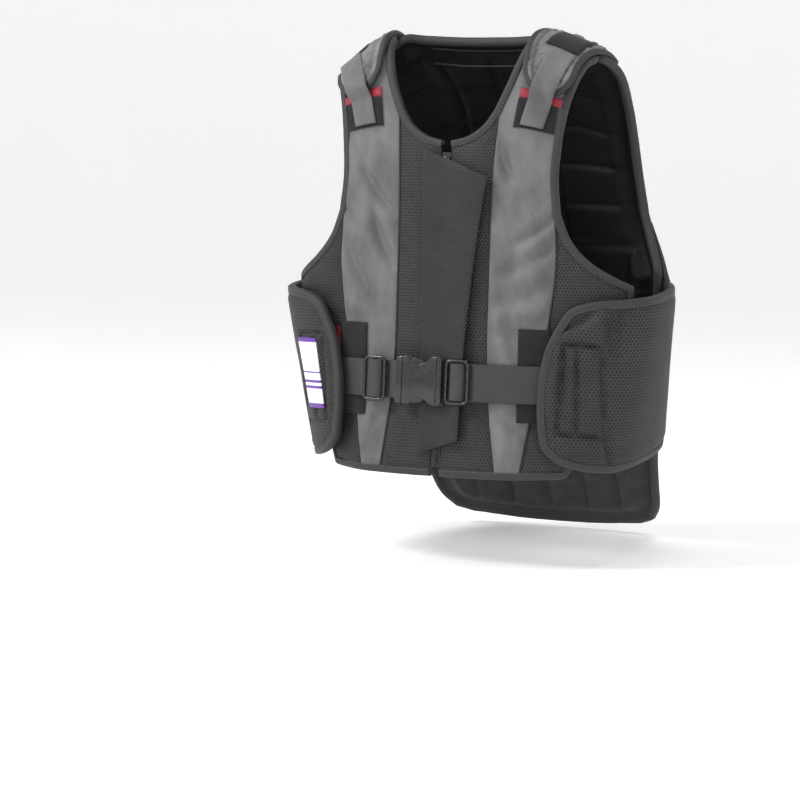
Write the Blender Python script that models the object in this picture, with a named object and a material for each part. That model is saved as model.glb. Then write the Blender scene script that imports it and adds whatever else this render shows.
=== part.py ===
"""Padded body vest for a horse rider, zipped and buckled as it is worn, standing up hollow."""

import math

import bmesh
import bpy
import numpy as np

# Main sizes in metres; the tables below are shares of these
CHEST_WIDTH = 0.410
CHEST_DEPTH = 0.212
FRONT_LENGTH = 0.515
WEBBING_HEIGHT = 0.040
HALF_CHEST = CHEST_WIDTH / 2

# Thicknesses and gaps in metres
GAP = 0.0003
LIFT = 0.0009
BLOCK_DEPTH = 0.020
GROOVE_DEPTH = 0.013
EDGE_DEPTH = 0.005
COVER = 0.0020
SKIN = GAP + COVER
TAPE_WIDTH = 0.0045
PATCH = 0.0012
STRAP = 0.0022
WING = 0.011
SHOULDER_PAD = 0.008
PLACKET_THICK = 0.003
ZIP_HALF = 0.0055

# Shoulder fall: starts softly at this share of the half chest and drops this share of the way out;
# the wearer's right shoulder droops by a further share. Each fades between two shares down.
SLOPE_START = 0.39
SLOPE_SOFT = 0.06
SLOPE = 0.39
SLOPE_FADES = (0.12, 0.49)
DROOP_RIGHT = 0.50
DROOP_FADES = (0.02, 0.22)

# Form of the padding's outer face, as shares.
# Of the front length: down, height. Of the half chest: width. Of the depth: front, back, middle.
# square is how square the back half of a level cut is.
FORM = (
    # down, height, width, front, back, middle, square
    (0.000, 0.038, 1.000, 0.000, 0.000, 0.000, 2.4),
    (0.058, 0.029, 1.000, -0.108, 0.137, 0.010, 2.4),
    (0.117, 0.000, 1.000, -0.174, 0.279, 0.019, 2.4),
    (0.175, -0.047, 1.000, -0.221, 0.401, 0.033, 2.4),
    (0.252, -0.119, 1.000, -0.254, 0.515, 0.043, 2.4),
    (0.350, -0.214, 1.000, -0.278, 0.600, 0.043, 2.4),
    (0.485, -0.348, 1.005, -0.301, 0.656, 0.043, 2.4),
    (0.641, -0.501, 0.975, -0.325, 0.690, 0.060, 2.5),
    (0.816, -0.676, 0.900, -0.358, 0.755, 0.120, 2.9),
    (1.000, -0.859, 0.820, -0.405, 0.930, 0.190, 3.6),
    (1.170, -1.029, 0.800, -0.430, 1.110, 0.260, 4.2),
)
FRONT_SQUARENESS = 2.6

# Outlines: down as a share of the front length, out as a share of the half chest
FRONT_NECK = ((0.028, 0.434), (0.117, 0.392), (0.194, 0.338), (0.248, 0.282))
FRONT_NOTCH = ((0.248, 0.282), (0.282, 0.222), (0.308, 0.130), (0.319, 0.030))
FRONT_ARM = ((0.028, 0.720), (0.097, 0.688), (0.205, 0.632), (0.300, 0.603), (0.388, 0.594),
             (0.460, 0.612))
FRONT_UNDERARM = ((0.460, 0.612), (0.515, 0.670), (0.562, 0.772), (0.592, 0.875), (0.612, 0.950))
FRONT_SIDE = ((0.612, 0.950), (0.760, 0.890), (0.893, 0.770), (0.992, 0.655))
FRONT_INNER_SEAM = ((0.248, 0.282), (0.400, 0.264), (0.600, 0.260), (0.820, 0.270), (0.995, 0.328))
FRONT_OUTER_SEAM = ((0.460, 0.612), (0.560, 0.622), (0.680, 0.590), (0.830, 0.525), (0.995, 0.456))
BACK_NECK = ((0.018, 0.434), (0.034, 0.400), (0.050, 0.330))
BACK_NECK_CENTRE = ((0.050, 0.330), (0.061, 0.165), (0.063, 0.000))
BACK_ARM = ((0.018, 0.725), (0.097, 0.760), (0.194, 0.744), (0.291, 0.735), (0.388, 0.745),
            (0.470, 0.775))
BACK_UNDERARM = ((0.470, 0.775), (0.530, 0.830), (0.590, 0.900))
BACK_SIDE = ((0.590, 0.900), (0.777, 0.880), (0.893, 0.840), (0.955, 0.800))
BACK_INNER_SEAM = ((0.050, 0.330), (0.120, 0.290), (0.291, 0.258), (0.450, 0.290), (0.700, 0.380),
                   (0.900, 0.470), (1.060, 0.510), (1.157, 0.510))
BACK_OUTER_SEAM = ((0.470, 0.775), (0.580, 0.760), (0.700, 0.755), (0.820, 0.765), (0.955, 0.790))
TAIL_SIDE = ((0.955, 0.790), (1.005, 0.722), (1.065, 0.680), (1.122, 0.642), (1.146, 0.595))
TAIL_END = ((1.157, 0.510), (1.166, 0.250), (1.168, 0.000))
WING_TOP = ((0.690, 0.655), (0.657, 0.712), (0.643, 0.800), (0.638, 0.900))
WING_FRONT = ((0.690, 0.655), (0.730, 0.608), (0.790, 0.574), (0.870, 0.562), (0.930, 0.572))
WING_END = ((0.930, 0.572), (0.957, 0.630), (0.971, 0.710), (0.977, 0.790))
WING_UNDERARM = ((0.618, 0.905), (0.555, 0.845), (0.492, 0.775))
WING_REAR = ((0.492, 0.775), (0.580, 0.7605), (0.700, 0.7555), (0.820, 0.7655), (0.945, 0.790))
PLACKET = (((0.326, -0.132), (0.600, -0.112), (0.958, -0.094)),
           ((0.384, 0.256), (0.480, 0.220), (0.620, 0.180), (0.760, 0.152), (0.928, 0.140)))

# Girths from centre front, as shares of the half chest, where a wing comes down and thins
WING_RISE = (1.22, 1.58)
WING_LANDS = (1.64, 1.69)
WING_SEATS = (0.600, 0.680)
WING_HEM = (0.800, 0.860)
WING_THINS = (1.41, 1.80)

# Shoulder pieces; a negative down is behind the top of the shoulder
SHOULDER_PAD_INNER = ((-0.085, 0.455), (0.000, 0.430), (0.120, 0.418), (0.165, 0.425),
                      (0.187, 0.455))
SHOULDER_PAD_OUTER = ((-0.085, 0.725), (0.000, 0.722), (0.100, 0.675), (0.160, 0.640),
                      (0.183, 0.605))
SHOULDER_STRAP = (((0.087, 0.535), (0.175, 0.475), (0.275, 0.412)),
                  ((0.087, 0.657), (0.175, 0.597), (0.275, 0.533)))
SHOULDER_TOP_PATCH = (((0.012, 0.520), (0.083, 0.495)), ((0.012, 0.690), (0.083, 0.665)))
SHOULDER_MARK = (((0.197, 0.402), (0.217, 0.396)), ((0.197, 0.624), (0.217, 0.616)))
SHOULDER_LOOP = (((0.219, 0.394), (0.281, 0.372)), ((0.219, 0.602), (0.281, 0.588)))
STRAP_DROP = (0.188, 0.222)

# Waist loop patches, the marker by the right wing and the label on it
WAIST_LOOP = (((0.695, 0.435), (0.886, 0.437)), ((0.695, 0.602), (0.886, 0.590)))
WING_MARK = (((0.705, 0.612), (0.890, 0.600)), ((0.705, 0.662), (0.890, 0.650)))
LABEL = (((0.731, 0.702), (0.878, 0.632)), ((0.731, 0.838), (0.878, 0.748)))

# Waist fastening: down as a share of the front length, the rest shares of the webbing's height
WAIST_DOWN = 0.808
SLIDER_TALL = 1.20
SLIDER_BAR = 0.075
SLIDERS = {"right": (-2.125, -1.4375), "left": (0.3125, 1.000)}
SLIDER_HEIGHTS = (0.275, 0.365)
# Webbing's way from under the wing to the buckle: out, height
WEB_RIGHT = ((-3.60, 0.1325), (-3.05, 0.1325), (-2.60, 0.140), (-2.30, 0.180), (-2.05, 0.200),
             (-1.95, 0.325), (-1.78, 0.355), (-1.61, 0.325), (-1.51, 0.200), (-1.25, 0.200),
             (-0.98, 0.200))
WEB_LEFT = ((3.60, 0.1325), (3.05, 0.1325), (2.40, 0.140), (1.50, 0.165), (1.15, 0.200),
            (0.925, 0.200), (0.825, 0.325), (0.66, 0.355), (0.50, 0.325), (0.395, 0.200),
            (0.285, 0.205))
# Buckle outlines above its long axis: along, half height
SOCKET = ((-0.900, 0.610), (-0.825, 0.638), (-0.700, 0.625), (-0.550, 0.488), (-0.400, 0.438),
          (-0.250, 0.475), (-0.125, 0.575), (0.000, 0.638), (0.188, 0.638), (0.262, 0.588))
SOCKET_POCKET = ((-1.000, 0.525), (-0.750, 0.525), (-0.700, 0.750), (-0.200, 0.750),
                 (-0.150, 0.512), (-0.100, 0.375))
SOCKET_SLOT = ((0.088, 0.512), (0.175, 0.512))
PLUG_PRONG = ((-0.912, 0.488), (-0.690, 0.488), (-0.640, 0.562), (-0.400, 0.580),
              (-0.240, 0.500), (-0.215, 0.420), (-0.300, 0.330), (-0.600, 0.330),
              (-0.912, 0.340))
PLUG_BASE = ((-1.100, 0.560), (-1.060, 0.625), (-0.912, 0.625))
PLUG_TONGUE = ((-0.912, 0.100), (-0.215, 0.080))
SOCKET_HEIGHTS = (0.225, 0.425)
POCKET_HEIGHTS = (0.270, 0.380)
PLUG_HEIGHTS = (0.2775, 0.3725)

# Colours
GREY = (0.145, 0.145, 0.150)
MESH = (0.045, 0.045, 0.048)
LINING = (0.012, 0.012, 0.016)
TAPE = (0.060, 0.060, 0.064)
WEB = (0.050, 0.050, 0.053)
LOOP = (0.020, 0.020, 0.022)
RED = (0.350, 0.020, 0.035)
WHITE = (0.800, 0.800, 0.820)
PLASTIC = (0.012, 0.012, 0.013)

sections = {}


def clear_scene():
    """Remove the start-up objects."""
    for thing in list(bpy.data.objects):
        bpy.data.objects.remove(thing, do_unlink=True)


def smooth(rows, key, column):
    """Read a column of a table at key along a smooth curve, level at its start."""
    keys = np.array([row[0] for row in rows])
    values = np.array([row[column] for row in rows])
    slopes = np.gradient(values, keys)
    if rows is FORM and column == 1:
        slopes[0] = 0.0
    at = min(max(key, keys[0]), keys[-1])
    i = min(max(int(np.searchsorted(keys, at)) - 1, 0), len(keys) - 2)
    step = keys[i + 1] - keys[i]
    t = (at - keys[i]) / step
    ease = t * t * (3 - 2 * t)
    lead = t * (1 - t) ** 2 * slopes[i] - t * t * (1 - t) * slopes[i + 1]
    return float(values[i] * (1 - ease) + values[i + 1] * ease + step * lead)


def ramp(value, start, end):
    """Go softly from 0 at start to 1 at end."""
    t = min(max((value - start) / (end - start), 0.0), 1.0)
    return t * t * (3 - 2 * t)


def section(down):
    """Half a level cut of the form: distances out, depths, girth from centre front, and height."""
    key = round(down, 7)
    if key not in sections:
        share = down / FRONT_LENGTH
        height, width, front, back, middle, square = (smooth(FORM, share, c)
                                                      for c in range(1, 7))
        turn = np.linspace(0, math.pi, 601)
        ahead = turn < math.pi / 2
        power = 2 / np.where(ahead, FRONT_SQUARENESS, square)
        out = width * HALF_CHEST * np.abs(np.sin(turn)) ** power
        reach = np.where(ahead, front - middle, back - middle)
        depth = CHEST_DEPTH * (middle + reach * np.abs(np.cos(turn)) ** power)
        steps = np.hypot(np.diff(out), np.diff(depth))
        girth = np.concatenate(([0.0], np.cumsum(steps)))
        sections[key] = (out, depth, girth, height * FRONT_LENGTH)
    return sections[key]


def over(side, down):
    """Side that a signed down lies on."""
    if down >= 0:
        return side
    return "back" if side == "front" else "front"


def girth_at(side, out, down):
    """Distance round the cloth from the centre of the front or back to a distance out."""
    side = over(side, down)
    outs, _, girth, _ = section(abs(down))
    widest = int(np.argmax(outs))
    if side == "front":
        return float(np.interp(out, outs[:widest + 1], girth[:widest + 1]))
    return float(girth[-1] - np.interp(-out, -outs[widest:], girth[widest:]))


def on_form(side, across, down):
    """Point of the padding's outer face; a negative down is over the shoulder on the other side."""
    side = over(side, down)
    outs, depths, girth, height = section(abs(down))
    way = abs(across) if side == "front" else girth[-1] - abs(across)
    out = float(np.interp(way, girth, outs))
    depth = float(np.interp(way, girth, depths))
    past = max(0.0, out - SLOPE_START * HALF_CHEST)
    past *= past / (past + SLOPE_SOFT * HALF_CHEST)
    share = abs(down) / FRONT_LENGTH
    fall = SLOPE * past * (1 - ramp(share, *SLOPE_FADES))
    if across < 0:
        fall += DROOP_RIGHT * past * (1 - ramp(share, *DROOP_FADES))
    return np.array((math.copysign(out, across), depth, height - fall))


def normal(side, across, down):
    """Outward direction of the form."""
    step = 0.002
    along = on_form(side, across + step, down) - on_form(side, across - step, down)
    up = on_form(side, across, down - step) - on_form(side, across, down + step)
    way = np.cross(along, up)
    if side == "back":
        way = -way
    return way / np.linalg.norm(way)


def spot(side, across, down, out=0.0):
    """Point at a height above the padding's outer face."""
    return on_form(side, across, down) + out * normal(side, across, down)


def line(table, side, count, sign=1):
    """Evenly spaced points (across, down) along an outline table."""
    shares = np.array(table)
    gaps = np.hypot(np.diff(shares[:, 0] * FRONT_LENGTH), np.diff(shares[:, 1] * HALF_CHEST))
    along = np.concatenate(([0.0], np.cumsum(gaps)))
    rows = [(a, d, o) for a, (d, o) in zip(along, table)]
    points = []
    for at in np.linspace(0, along[-1], count + 1):
        down = smooth(rows, at, 1) * FRONT_LENGTH
        out = smooth(rows, at, 2) * HALF_CHEST
        points.append((sign * math.copysign(girth_at(side, abs(out), down), out), down))
    return points


def join(*lines):
    """Put lines end to end without repeating the shared points."""
    points = list(lines[0])
    for more in lines[1:]:
        points += more[1:]
    return points


def fill(top, bottom, left, right):
    """Grid of points inside four edge lines, as rows from top to bottom."""
    top, bottom, left, right = (np.array(e) for e in (top, bottom, left, right))
    across = np.linspace(0, 1, len(top))[None, :, None]
    down = np.linspace(0, 1, len(left))[:, None, None]
    ruled = (1 - down) * top[None] + down * bottom[None]
    ruled = ruled + (1 - across) * left[:, None] + across * right[:, None]
    corners = (1 - down) * ((1 - across) * top[0] + across * top[-1])
    corners = corners + down * ((1 - across) * bottom[0] + across * bottom[-1])
    return ruled - corners


def straight(start, end, count):
    """Evenly spaced points between two points."""
    return [tuple(np.array(start) + (np.array(end) - start) * i / count) for i in range(count + 1)]


def finish(name, mesh, colour, rough=0.8):
    """Turn a mesh into a named object with its own material."""
    body = bpy.data.objects.new(name, mesh)
    bpy.context.scene.collection.objects.link(body)
    material = bpy.data.materials.new(name)
    material.use_nodes = True
    shader = material.node_tree.nodes["Principled BSDF"]
    shader.inputs["Base Color"].default_value = (*colour, 1)
    shader.inputs["Roughness"].default_value = rough
    mesh.materials.append(material)
    return body


def solid(name, points, faces, colour, rough=0.8, round_angle=math.radians(50)):
    """Closed body from points and faces, facing outward."""
    mesh = bpy.data.meshes.new(name)
    mesh.from_pydata([tuple(p) for p in points], [], faces)
    form = bmesh.new()
    form.from_mesh(mesh)
    bmesh.ops.recalc_face_normals(form, faces=form.faces)
    for face in form.faces:
        face.smooth = True
    for edge in form.edges:
        edge.smooth = edge.calc_face_angle(0) < round_angle
    form.to_mesh(mesh)
    form.free()
    return finish(name, mesh, colour, rough)


def weave(grids):
    """Merge grids into one list of points and triangles with shared edges."""
    keys, triangles = {}, []
    for grid in grids:
        rows, columns = grid.shape[:2]
        names = np.empty((rows, columns), int)
        for i in range(rows):
            for j in range(columns):
                key = (round(grid[i, j, 0], 6), round(grid[i, j, 1], 6))
                names[i, j] = keys.setdefault(key, len(keys))
        for i in range(rows - 1):
            for j in range(columns - 1):
                a, b, c, d = names[i, j], names[i + 1, j], names[i + 1, j + 1], names[i, j + 1]
                triangles += [(a, b, c), (a, c, d)]
    return list(keys), triangles


def rim(triangles):
    """Directed edges that only one triangle uses."""
    edges = {(t[i], t[(i + 1) % 3]) for t in triangles for i in range(3)}
    return [e for e in edges if (e[1], e[0]) not in edges]


def rim_loop(grids, start=None, end=None):
    """Points round the grids' border in order, from the one nearest start to that nearest end."""
    points, triangles = weave(grids)
    following = dict(rim(triangles))
    first = next(iter(following))
    loop = [first]
    while following[loop[-1]] != first:
        loop.append(following[loop[-1]])
    loop = [points[i] for i in loop]
    if start is None:
        return loop
    nearest = [min(range(len(loop)), key=lambda i: math.dist(loop[i], p)) for p in (start, end)]
    loop = loop[nearest[0]:] + loop[:nearest[0]]
    return loop[:(nearest[1] - nearest[0]) % len(loop) + 1]


def slab(name, side, grids, outer, inner, colour, rough=0.8):
    """Closed sheet between two heights above the form; each height takes (across, down, edge)."""
    points, triangles = weave(grids)
    border = rim(triangles)
    on_border = {i for edge in border for i in edge}
    count = len(points)
    where = [spot(side, a, d, outer(a, d, i in on_border)) for i, (a, d) in enumerate(points)]
    where += [spot(side, a, d, inner(a, d, i in on_border)) for i, (a, d) in enumerate(points)]
    faces = list(triangles) + [tuple(i + count for i in reversed(t)) for t in triangles]
    for a, b in border:
        faces += [(b, a, a + count), (b, a + count, b + count)]
    return solid(name, where, faces, colour, rough)


def level(height):
    """Height that is the same everywhere."""
    return lambda across, down, edge: height


def shrink(grid, margin):
    """Move a grid's border points in by a margin."""
    small = grid.copy()
    pulls = ((np.s_[0], np.s_[1]), (np.s_[-1], np.s_[-2]))
    for edge, near in pulls:
        way = grid[near] - grid[edge]
        small[edge] += margin * way / np.linalg.norm(way, axis=-1, keepdims=True)
    for edge, near in pulls:
        way = grid[:, near] - grid[:, edge]
        small[:, edge] += margin * way / np.linalg.norm(way, axis=-1, keepdims=True)
    return small


def edging(name, side, loop, closed, low, high, width=TAPE_WIDTH, colour=TAPE):
    """Tape round a panel's border; low and high are heights above the form at (across, down)."""
    points = [spot(side, a, d) for a, d in loop]
    count = len(points)
    flat = np.array(loop)
    area = np.sum(flat[:, 0] * np.roll(flat[:, 1], -1) - np.roll(flat[:, 0], -1) * flat[:, 1])
    hand = math.copysign(1.0, area) * (-1 if side == "front" else 1)
    rings = []
    for k in range(count):
        up = normal(side, *loop[k])
        ways = []
        for a, b in ((k - 1, k), (k, k + 1)):
            if closed or 0 <= a and b < count:
                way = np.cross(points[b % count] - points[a], up)
                ways.append(way / np.linalg.norm(way))
        out = sum(ways) / np.linalg.norm(sum(ways))
        out = hand * out / max(0.7, float(out @ ways[0]))
        corners = ((2 * GAP, high), (2 * GAP + width, high), (2 * GAP + width, low), (2 * GAP, low))
        rings.append([points[k] + out * w + up * h(*loop[k]) for w, h in corners])
    return ring_body(name, rings, closed, colour)


def ring_body(name, rings, closed, colour, rough=0.8):
    """Closed body through rings of points, capped at its ends unless it closes on itself."""
    size = len(rings[0])
    points = [p for ring in rings for p in ring]
    faces = []
    for k in range(len(rings) if closed else len(rings) - 1):
        a, b = k * size, (k + 1) % len(rings) * size
        for i in range(size):
            j = (i + 1) % size
            faces += [(a + i, a + j, b + j), (a + i, b + j, b + i)]
    if not closed:
        faces += [tuple(range(size)), tuple(range(len(points) - size, len(points)))]
    return solid(name, points, faces, colour, rough)


def front_grids(sign):
    """Centre, grey and side grids of one front panel."""
    notch = line(FRONT_NOTCH, "front", 4, sign)[::-1]
    inner = line(FRONT_INNER_SEAM, "front", 12, sign)
    hem_middle = sign * ZIP_HALF + sign * 2 * GAP
    notch[0] = (hem_middle, notch[0][1])
    hem = inner[-1][1]
    centre = fill(notch, straight((hem_middle, hem), inner[-1], 4),
                  straight(notch[0], (hem_middle, hem), 12), inner)
    neck = line(FRONT_NECK, "front", 5, sign)
    arm = line(FRONT_ARM, "front", 9, sign)
    outer = line(FRONT_OUTER_SEAM, "front", 8, sign)
    grey = fill(straight(neck[0], arm[0], 3), straight(inner[-1], outer[-1], 3),
                join(neck, inner), join(arm, outer))
    under = line(FRONT_UNDERARM, "front", 4, sign)
    edge = line(FRONT_SIDE, "front", 8, sign)
    flank = fill(under, straight(outer[-1], edge[-1], 4), outer, edge)
    return centre, grey, flank


def back_grids():
    """Centre, left and right grey, left and right side grids of the back panel."""
    inner = line(BACK_INNER_SEAM, "back", 20)
    neck_half = line(BACK_NECK_CENTRE, "back", 3)
    end_half = line(TAIL_END, "back", 3)
    flip = [(-a, d) for a, d in inner]
    neck = [(-a, d) for a, d in neck_half] + neck_half[-2::-1]
    end = [(-a, d) for a, d in end_half] + end_half[-2::-1]
    centre = fill(neck, end, flip, inner)
    neck_side = line(BACK_NECK, "back", 2)
    arm = line(BACK_ARM, "back", 8)
    outer = line(BACK_OUTER_SEAM, "back", 8)
    tail = line(TAIL_SIDE, "back", 6)
    grey = fill(straight(neck_side[0], arm[0], 3), straight(inner[-1], tail[-1], 3),
                join(neck_side, inner), join(arm, outer, tail))
    under = line(BACK_UNDERARM, "back", 3)
    edge = line(BACK_SIDE, "back", 8)
    flank = fill(under, straight(outer[-1], edge[-1], 3), outer, edge)
    turned = [grid[:, ::-1] * (-1, 1) for grid in (grey, flank)]
    return centre, grey, turned[0], flank, turned[1]


def block_depths(grids, every):
    """Depth of the padding at each point: deep inside the blocks, shallow along the grooves."""
    depths = {}
    for grid, step in zip(grids, every):
        rows, columns = grid.shape[:2]
        for i in range(rows):
            for j in range(columns):
                key = (round(grid[i, j, 0], 6), round(grid[i, j, 1], 6))
                groove = i % 2 == 0 or j % step == 0 or j == columns - 1
                depth = GROOVE_DEPTH if groove else BLOCK_DEPTH
                depths[key] = min(depth, depths.get(key, depth))
    return depths


def pad(name, side, grids, every):
    """Foam padding in blocks with its lining."""
    depths = block_depths(grids, every)
    inner = lambda across, down, edge: -(EDGE_DEPTH if edge else depths[(across, down)])
    return slab(name, side, grids, level(0.0), inner, LINING, 0.6)


def panels():
    """Padding, covers and edge tapes of the front and back."""
    high = lambda across, down: SKIN + 0.0005
    low = lambda across, down: -EDGE_DEPTH - 0.0005
    for sign, hand in ((1, "left"), (-1, "right")):
        grids = front_grids(sign)
        pad(f"front_pad_{hand}", "front", grids, (4, 3, 4))
        for grid, part in zip(grids, ("centre", "grey", "side")):
            colour = GREY if part == "grey" else MESH
            slab(f"front_{part}_cover_{hand}", "front", [shrink(grid, GAP)], level(SKIN),
                 level(GAP), colour)
        loop = rim_loop(grids, grids[0][-1, 0], grids[0][0, 0])
        edging(f"front_tape_{hand}", "front", loop, False, low, high)
    grids = back_grids()
    pad("back_pad", "back", grids, (3, 3, 3, 3, 3))
    for grid, part in zip(grids, ("centre_cover", "grey_cover_left", "grey_cover_right")):
        slab(f"back_{part}", "back", [shrink(grid, GAP)], level(SKIN), level(GAP),
             MESH if part == "centre_cover" else GREY)
    edging("back_tape", "back", rim_loop(grids), True, low, high)


def wing_heights(across, down):
    """Inner and outer heights of a side wing: flat where it is sewn to the back, raised in front."""
    share = across / HALF_CHEST
    raised = 1 - ramp(share, *WING_RISE)
    inner = SKIN + 2 * LIFT + raised * (STRAP + 2 * PATCH + LIFT)
    low_down = ramp(down / FRONT_LENGTH, *WING_SEATS) * (1 - ramp(down / FRONT_LENGTH, *WING_HEM))
    inner -= (SKIN + 2 * LIFT - 2 * GAP) * ramp(share, *WING_LANDS) * low_down
    return inner, inner + COVER + (WING - COVER) * (1 - ramp(share, *WING_THINS))


def wings():
    """Side wings sewn to the back, which wrap over the front's sides, and their edge tapes."""
    for sign, hand in ((1, "left"), (-1, "right")):
        top = line(WING_TOP, "front", 5, sign)
        front = line(WING_FRONT, "front", 8, sign)
        end = line(WING_END, "front", 3, sign)
        under, rear = ([(sign * (section(d)[2][-1] - a), d) for a, d in line(edge, "back", n)]
                       for edge, n in ((WING_UNDERARM, 3), (WING_REAR, 8)))
        top = join(top, straight(top[-1], under[0], 3), under)
        end = join(end, straight(end[-1], rear[-1], 8))
        grid = fill(top, end, front, rear)
        slab(f"side_wing_{hand}", "front", [grid],
             lambda a, d, edge: wing_heights(abs(a), d)[1] - (0.3 * WING if edge else 0),
             lambda a, d, edge: wing_heights(abs(a), d)[0], MESH)
        loop = rim_loop([grid], grid[0, -1], grid[-1, -1])
        edging(f"side_wing_tape_{hand}", "front", loop, False,
               lambda a, d: wing_heights(abs(a), d)[0] + LIFT,
               lambda a, d: wing_heights(abs(a), d)[1] - 0.2 * WING)


def sheet(name, edges, counts, low, high, colour, sign=1, rough=0.8):
    """Sheet on the front between two outline tables, with its heights as functions."""
    left, right = (line(edge, "front", counts[0], sign) for edge in edges)
    grid = fill(straight(left[0], right[0], counts[1]), straight(left[-1], right[-1], counts[1]),
                left, right)
    slab(name, "front", [grid], high, low, colour, rough)
    return grid


def patch(name, edges, counts, low, colour, sign):
    """Thin patch at a height."""
    return sheet(name, edges, counts, level(low), level(low + PATCH), colour, sign)


def shoulders():
    """Quilted pads over the shoulders with their straps, patches and marks."""
    low = SKIN + LIFT
    pad_low = low + LIFT / 2
    high = pad_low + SHOULDER_PAD
    on_patch = low + PATCH + LIFT
    strap_low = lambda a, d, edge: high + LIFT + (on_patch - high - LIFT) * ramp(
        d / FRONT_LENGTH, *STRAP_DROP)
    for sign, hand in ((1, "left"), (-1, "right")):
        grid = sheet(f"shoulder_pad_{hand}", (SHOULDER_PAD_INNER, SHOULDER_PAD_OUTER), (10, 4),
                     level(pad_low),
                     lambda a, d, edge: high - (0.4 * SHOULDER_PAD if edge else 0), GREY, sign)
        edging(f"shoulder_pad_tape_{hand}", "front", rim_loop([grid]), True,
               lambda a, d: pad_low + GAP, lambda a, d: high - 0.3 * SHOULDER_PAD, 0.003)
        sheet(f"shoulder_strap_{hand}", SHOULDER_STRAP, (8, 2), strap_low,
              lambda a, d, edge: strap_low(a, d, edge) + STRAP, GREY, sign)
        patch(f"shoulder_top_patch_{hand}", SHOULDER_TOP_PATCH, (3, 2), high + LIFT, LOOP, sign)
        patch(f"shoulder_mark_{hand}", SHOULDER_MARK, (1, 4), low, RED, sign)
        patch(f"shoulder_loop_{hand}", SHOULDER_LOOP, (2, 4), low, LOOP, sign)


def front_trim():
    """Waist patches, marker, label, zip and the flap over it."""
    low = SKIN + LIFT
    patch("waist_loop_left", WAIST_LOOP, (4, 2), low, LOOP, 1)
    patch("waist_loop_right", WAIST_LOOP, (4, 2), low, LOOP, -1)
    patch("wing_mark_right", WING_MARK, (4, 1), low, RED, -1)
    on_wing = wing_heights(HALF_CHEST, 0)[1] + LIFT
    sheet("label_right", LABEL, (4, 2), level(on_wing), level(on_wing + PATCH), WHITE, -1)
    sheet("zip_flap", PLACKET, (12, 3), level(low), level(low + PLACKET_THICK), MESH)
    half = ZIP_HALF - GAP
    zip_line = [[(0.335, s), (0.985, s)] for s in (-half / HALF_CHEST, half / HALF_CHEST)]
    sheet("front_zip", zip_line, (10, 1), level(-0.6 * EDGE_DEPTH), level(0.0), TAPE, 1, 0.5)
    pull = [[(0.342, 0.8 * s), (0.370, 0.8 * s)] for s in (-half / HALF_CHEST, half / HALF_CHEST)]
    sheet("zip_slider", pull, (1, 1), level(GAP), level(SKIN), PLASTIC, 1, 0.3)


def webbing(name, way):
    """Strap of webbing along a way of (out, height), level round the waist."""
    rings = []
    for out, height in way:
        across = math.copysign(girth_at("front", abs(out) * WEBBING_HEIGHT,
                                        WAIST_DOWN * FRONT_LENGTH), out)
        low = height * WEBBING_HEIGHT
        downs = [WAIST_DOWN * FRONT_LENGTH + s * WEBBING_HEIGHT / 2 for s in (-1, 0, 1)]
        rings.append([spot("front", across, d, low) for d in downs]
                     + [spot("front", across, d, low + STRAP) for d in downs[::-1]])
    ring_body(name, rings, False, WEB)


def slider(name, ends):
    """Open frame that the webbing threads through."""
    bar = SLIDER_BAR * WEBBING_HEIGHT
    outs = [ends[0] * WEBBING_HEIGHT, 0, 0, ends[1] * WEBBING_HEIGHT]
    outs[1], outs[2] = outs[0] + bar, outs[3] - bar
    middle, half = WAIST_DOWN * FRONT_LENGTH, SLIDER_TALL * WEBBING_HEIGHT / 2
    downs = [middle - half, middle - half + bar, middle + half - bar, middle + half]
    acrosses = [math.copysign(girth_at("front", abs(o), middle), o) for o in outs]
    cells = [(i, j) for i in range(3) for j in range(3) if (i, j) != (1, 1)]
    grids = [np.array([[(acrosses[j + b], downs[i + a]) for b in (0, 1)] for a in (0, 1)])
             for i, j in cells]
    low, high = (h * WEBBING_HEIGHT for h in SLIDER_HEIGHTS)
    slab(name, "front", grids, level(high), level(low), PLASTIC, 0.3)


def plate(name, outline, heights, colour=PLASTIC):
    """Flat piece in front of the waist from an outline of (along, up) and two heights."""
    base = on_form("front", 0.0, WAIST_DOWN * FRONT_LENGTH)
    along, out = np.array((1.0, 0.0, 0.0)), normal("front", 0.0, WAIST_DOWN * FRONT_LENGTH)
    up = np.cross(out, along)
    points = [base + WEBBING_HEIGHT * (u * along + v * up + h * out)
              for h in heights for u, v in outline]
    count = len(outline)
    faces = [tuple(range(count)), tuple(range(count, 2 * count))]
    faces += [(i, (i + 1) % count, (i + 1) % count + count, i + count) for i in range(count)]
    return solid(name, points, faces, colour, 0.25)


def mirrored(half):
    """Whole outline from its upper half."""
    return list(half) + [(u, -v) for u, v in half[::-1]]


def cut(body, cutter):
    """Cut a body with another, which is then hidden."""
    change = body.modifiers.new(cutter.name, "BOOLEAN")
    change.operation, change.solver, change.object = "DIFFERENCE", "EXACT", cutter
    cutter.hide_render = True
    cutter.display_type = "WIRE"


def waist():
    """Straps, sliders and the two halves of the side-release buckle."""
    webbing("waist_strap_right", WEB_RIGHT)
    webbing("waist_strap_left", WEB_LEFT)
    for hand, ends in SLIDERS.items():
        slider(f"strap_slider_{hand}", ends)
    socket = plate("buckle_socket", mirrored(SOCKET), SOCKET_HEIGHTS)
    cut(socket, plate("socket_pocket_cut", mirrored(SOCKET_POCKET), POCKET_HEIGHTS))
    cut(socket, plate("socket_slot_cut", mirrored(SOCKET_SLOT), (0.0, 0.6)))
    plate("buckle_plug", mirrored(PLUG_BASE + PLUG_PRONG + PLUG_TONGUE), PLUG_HEIGHTS)


clear_scene()
panels()
wings()
shoulders()
front_trim()
waist()
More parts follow.
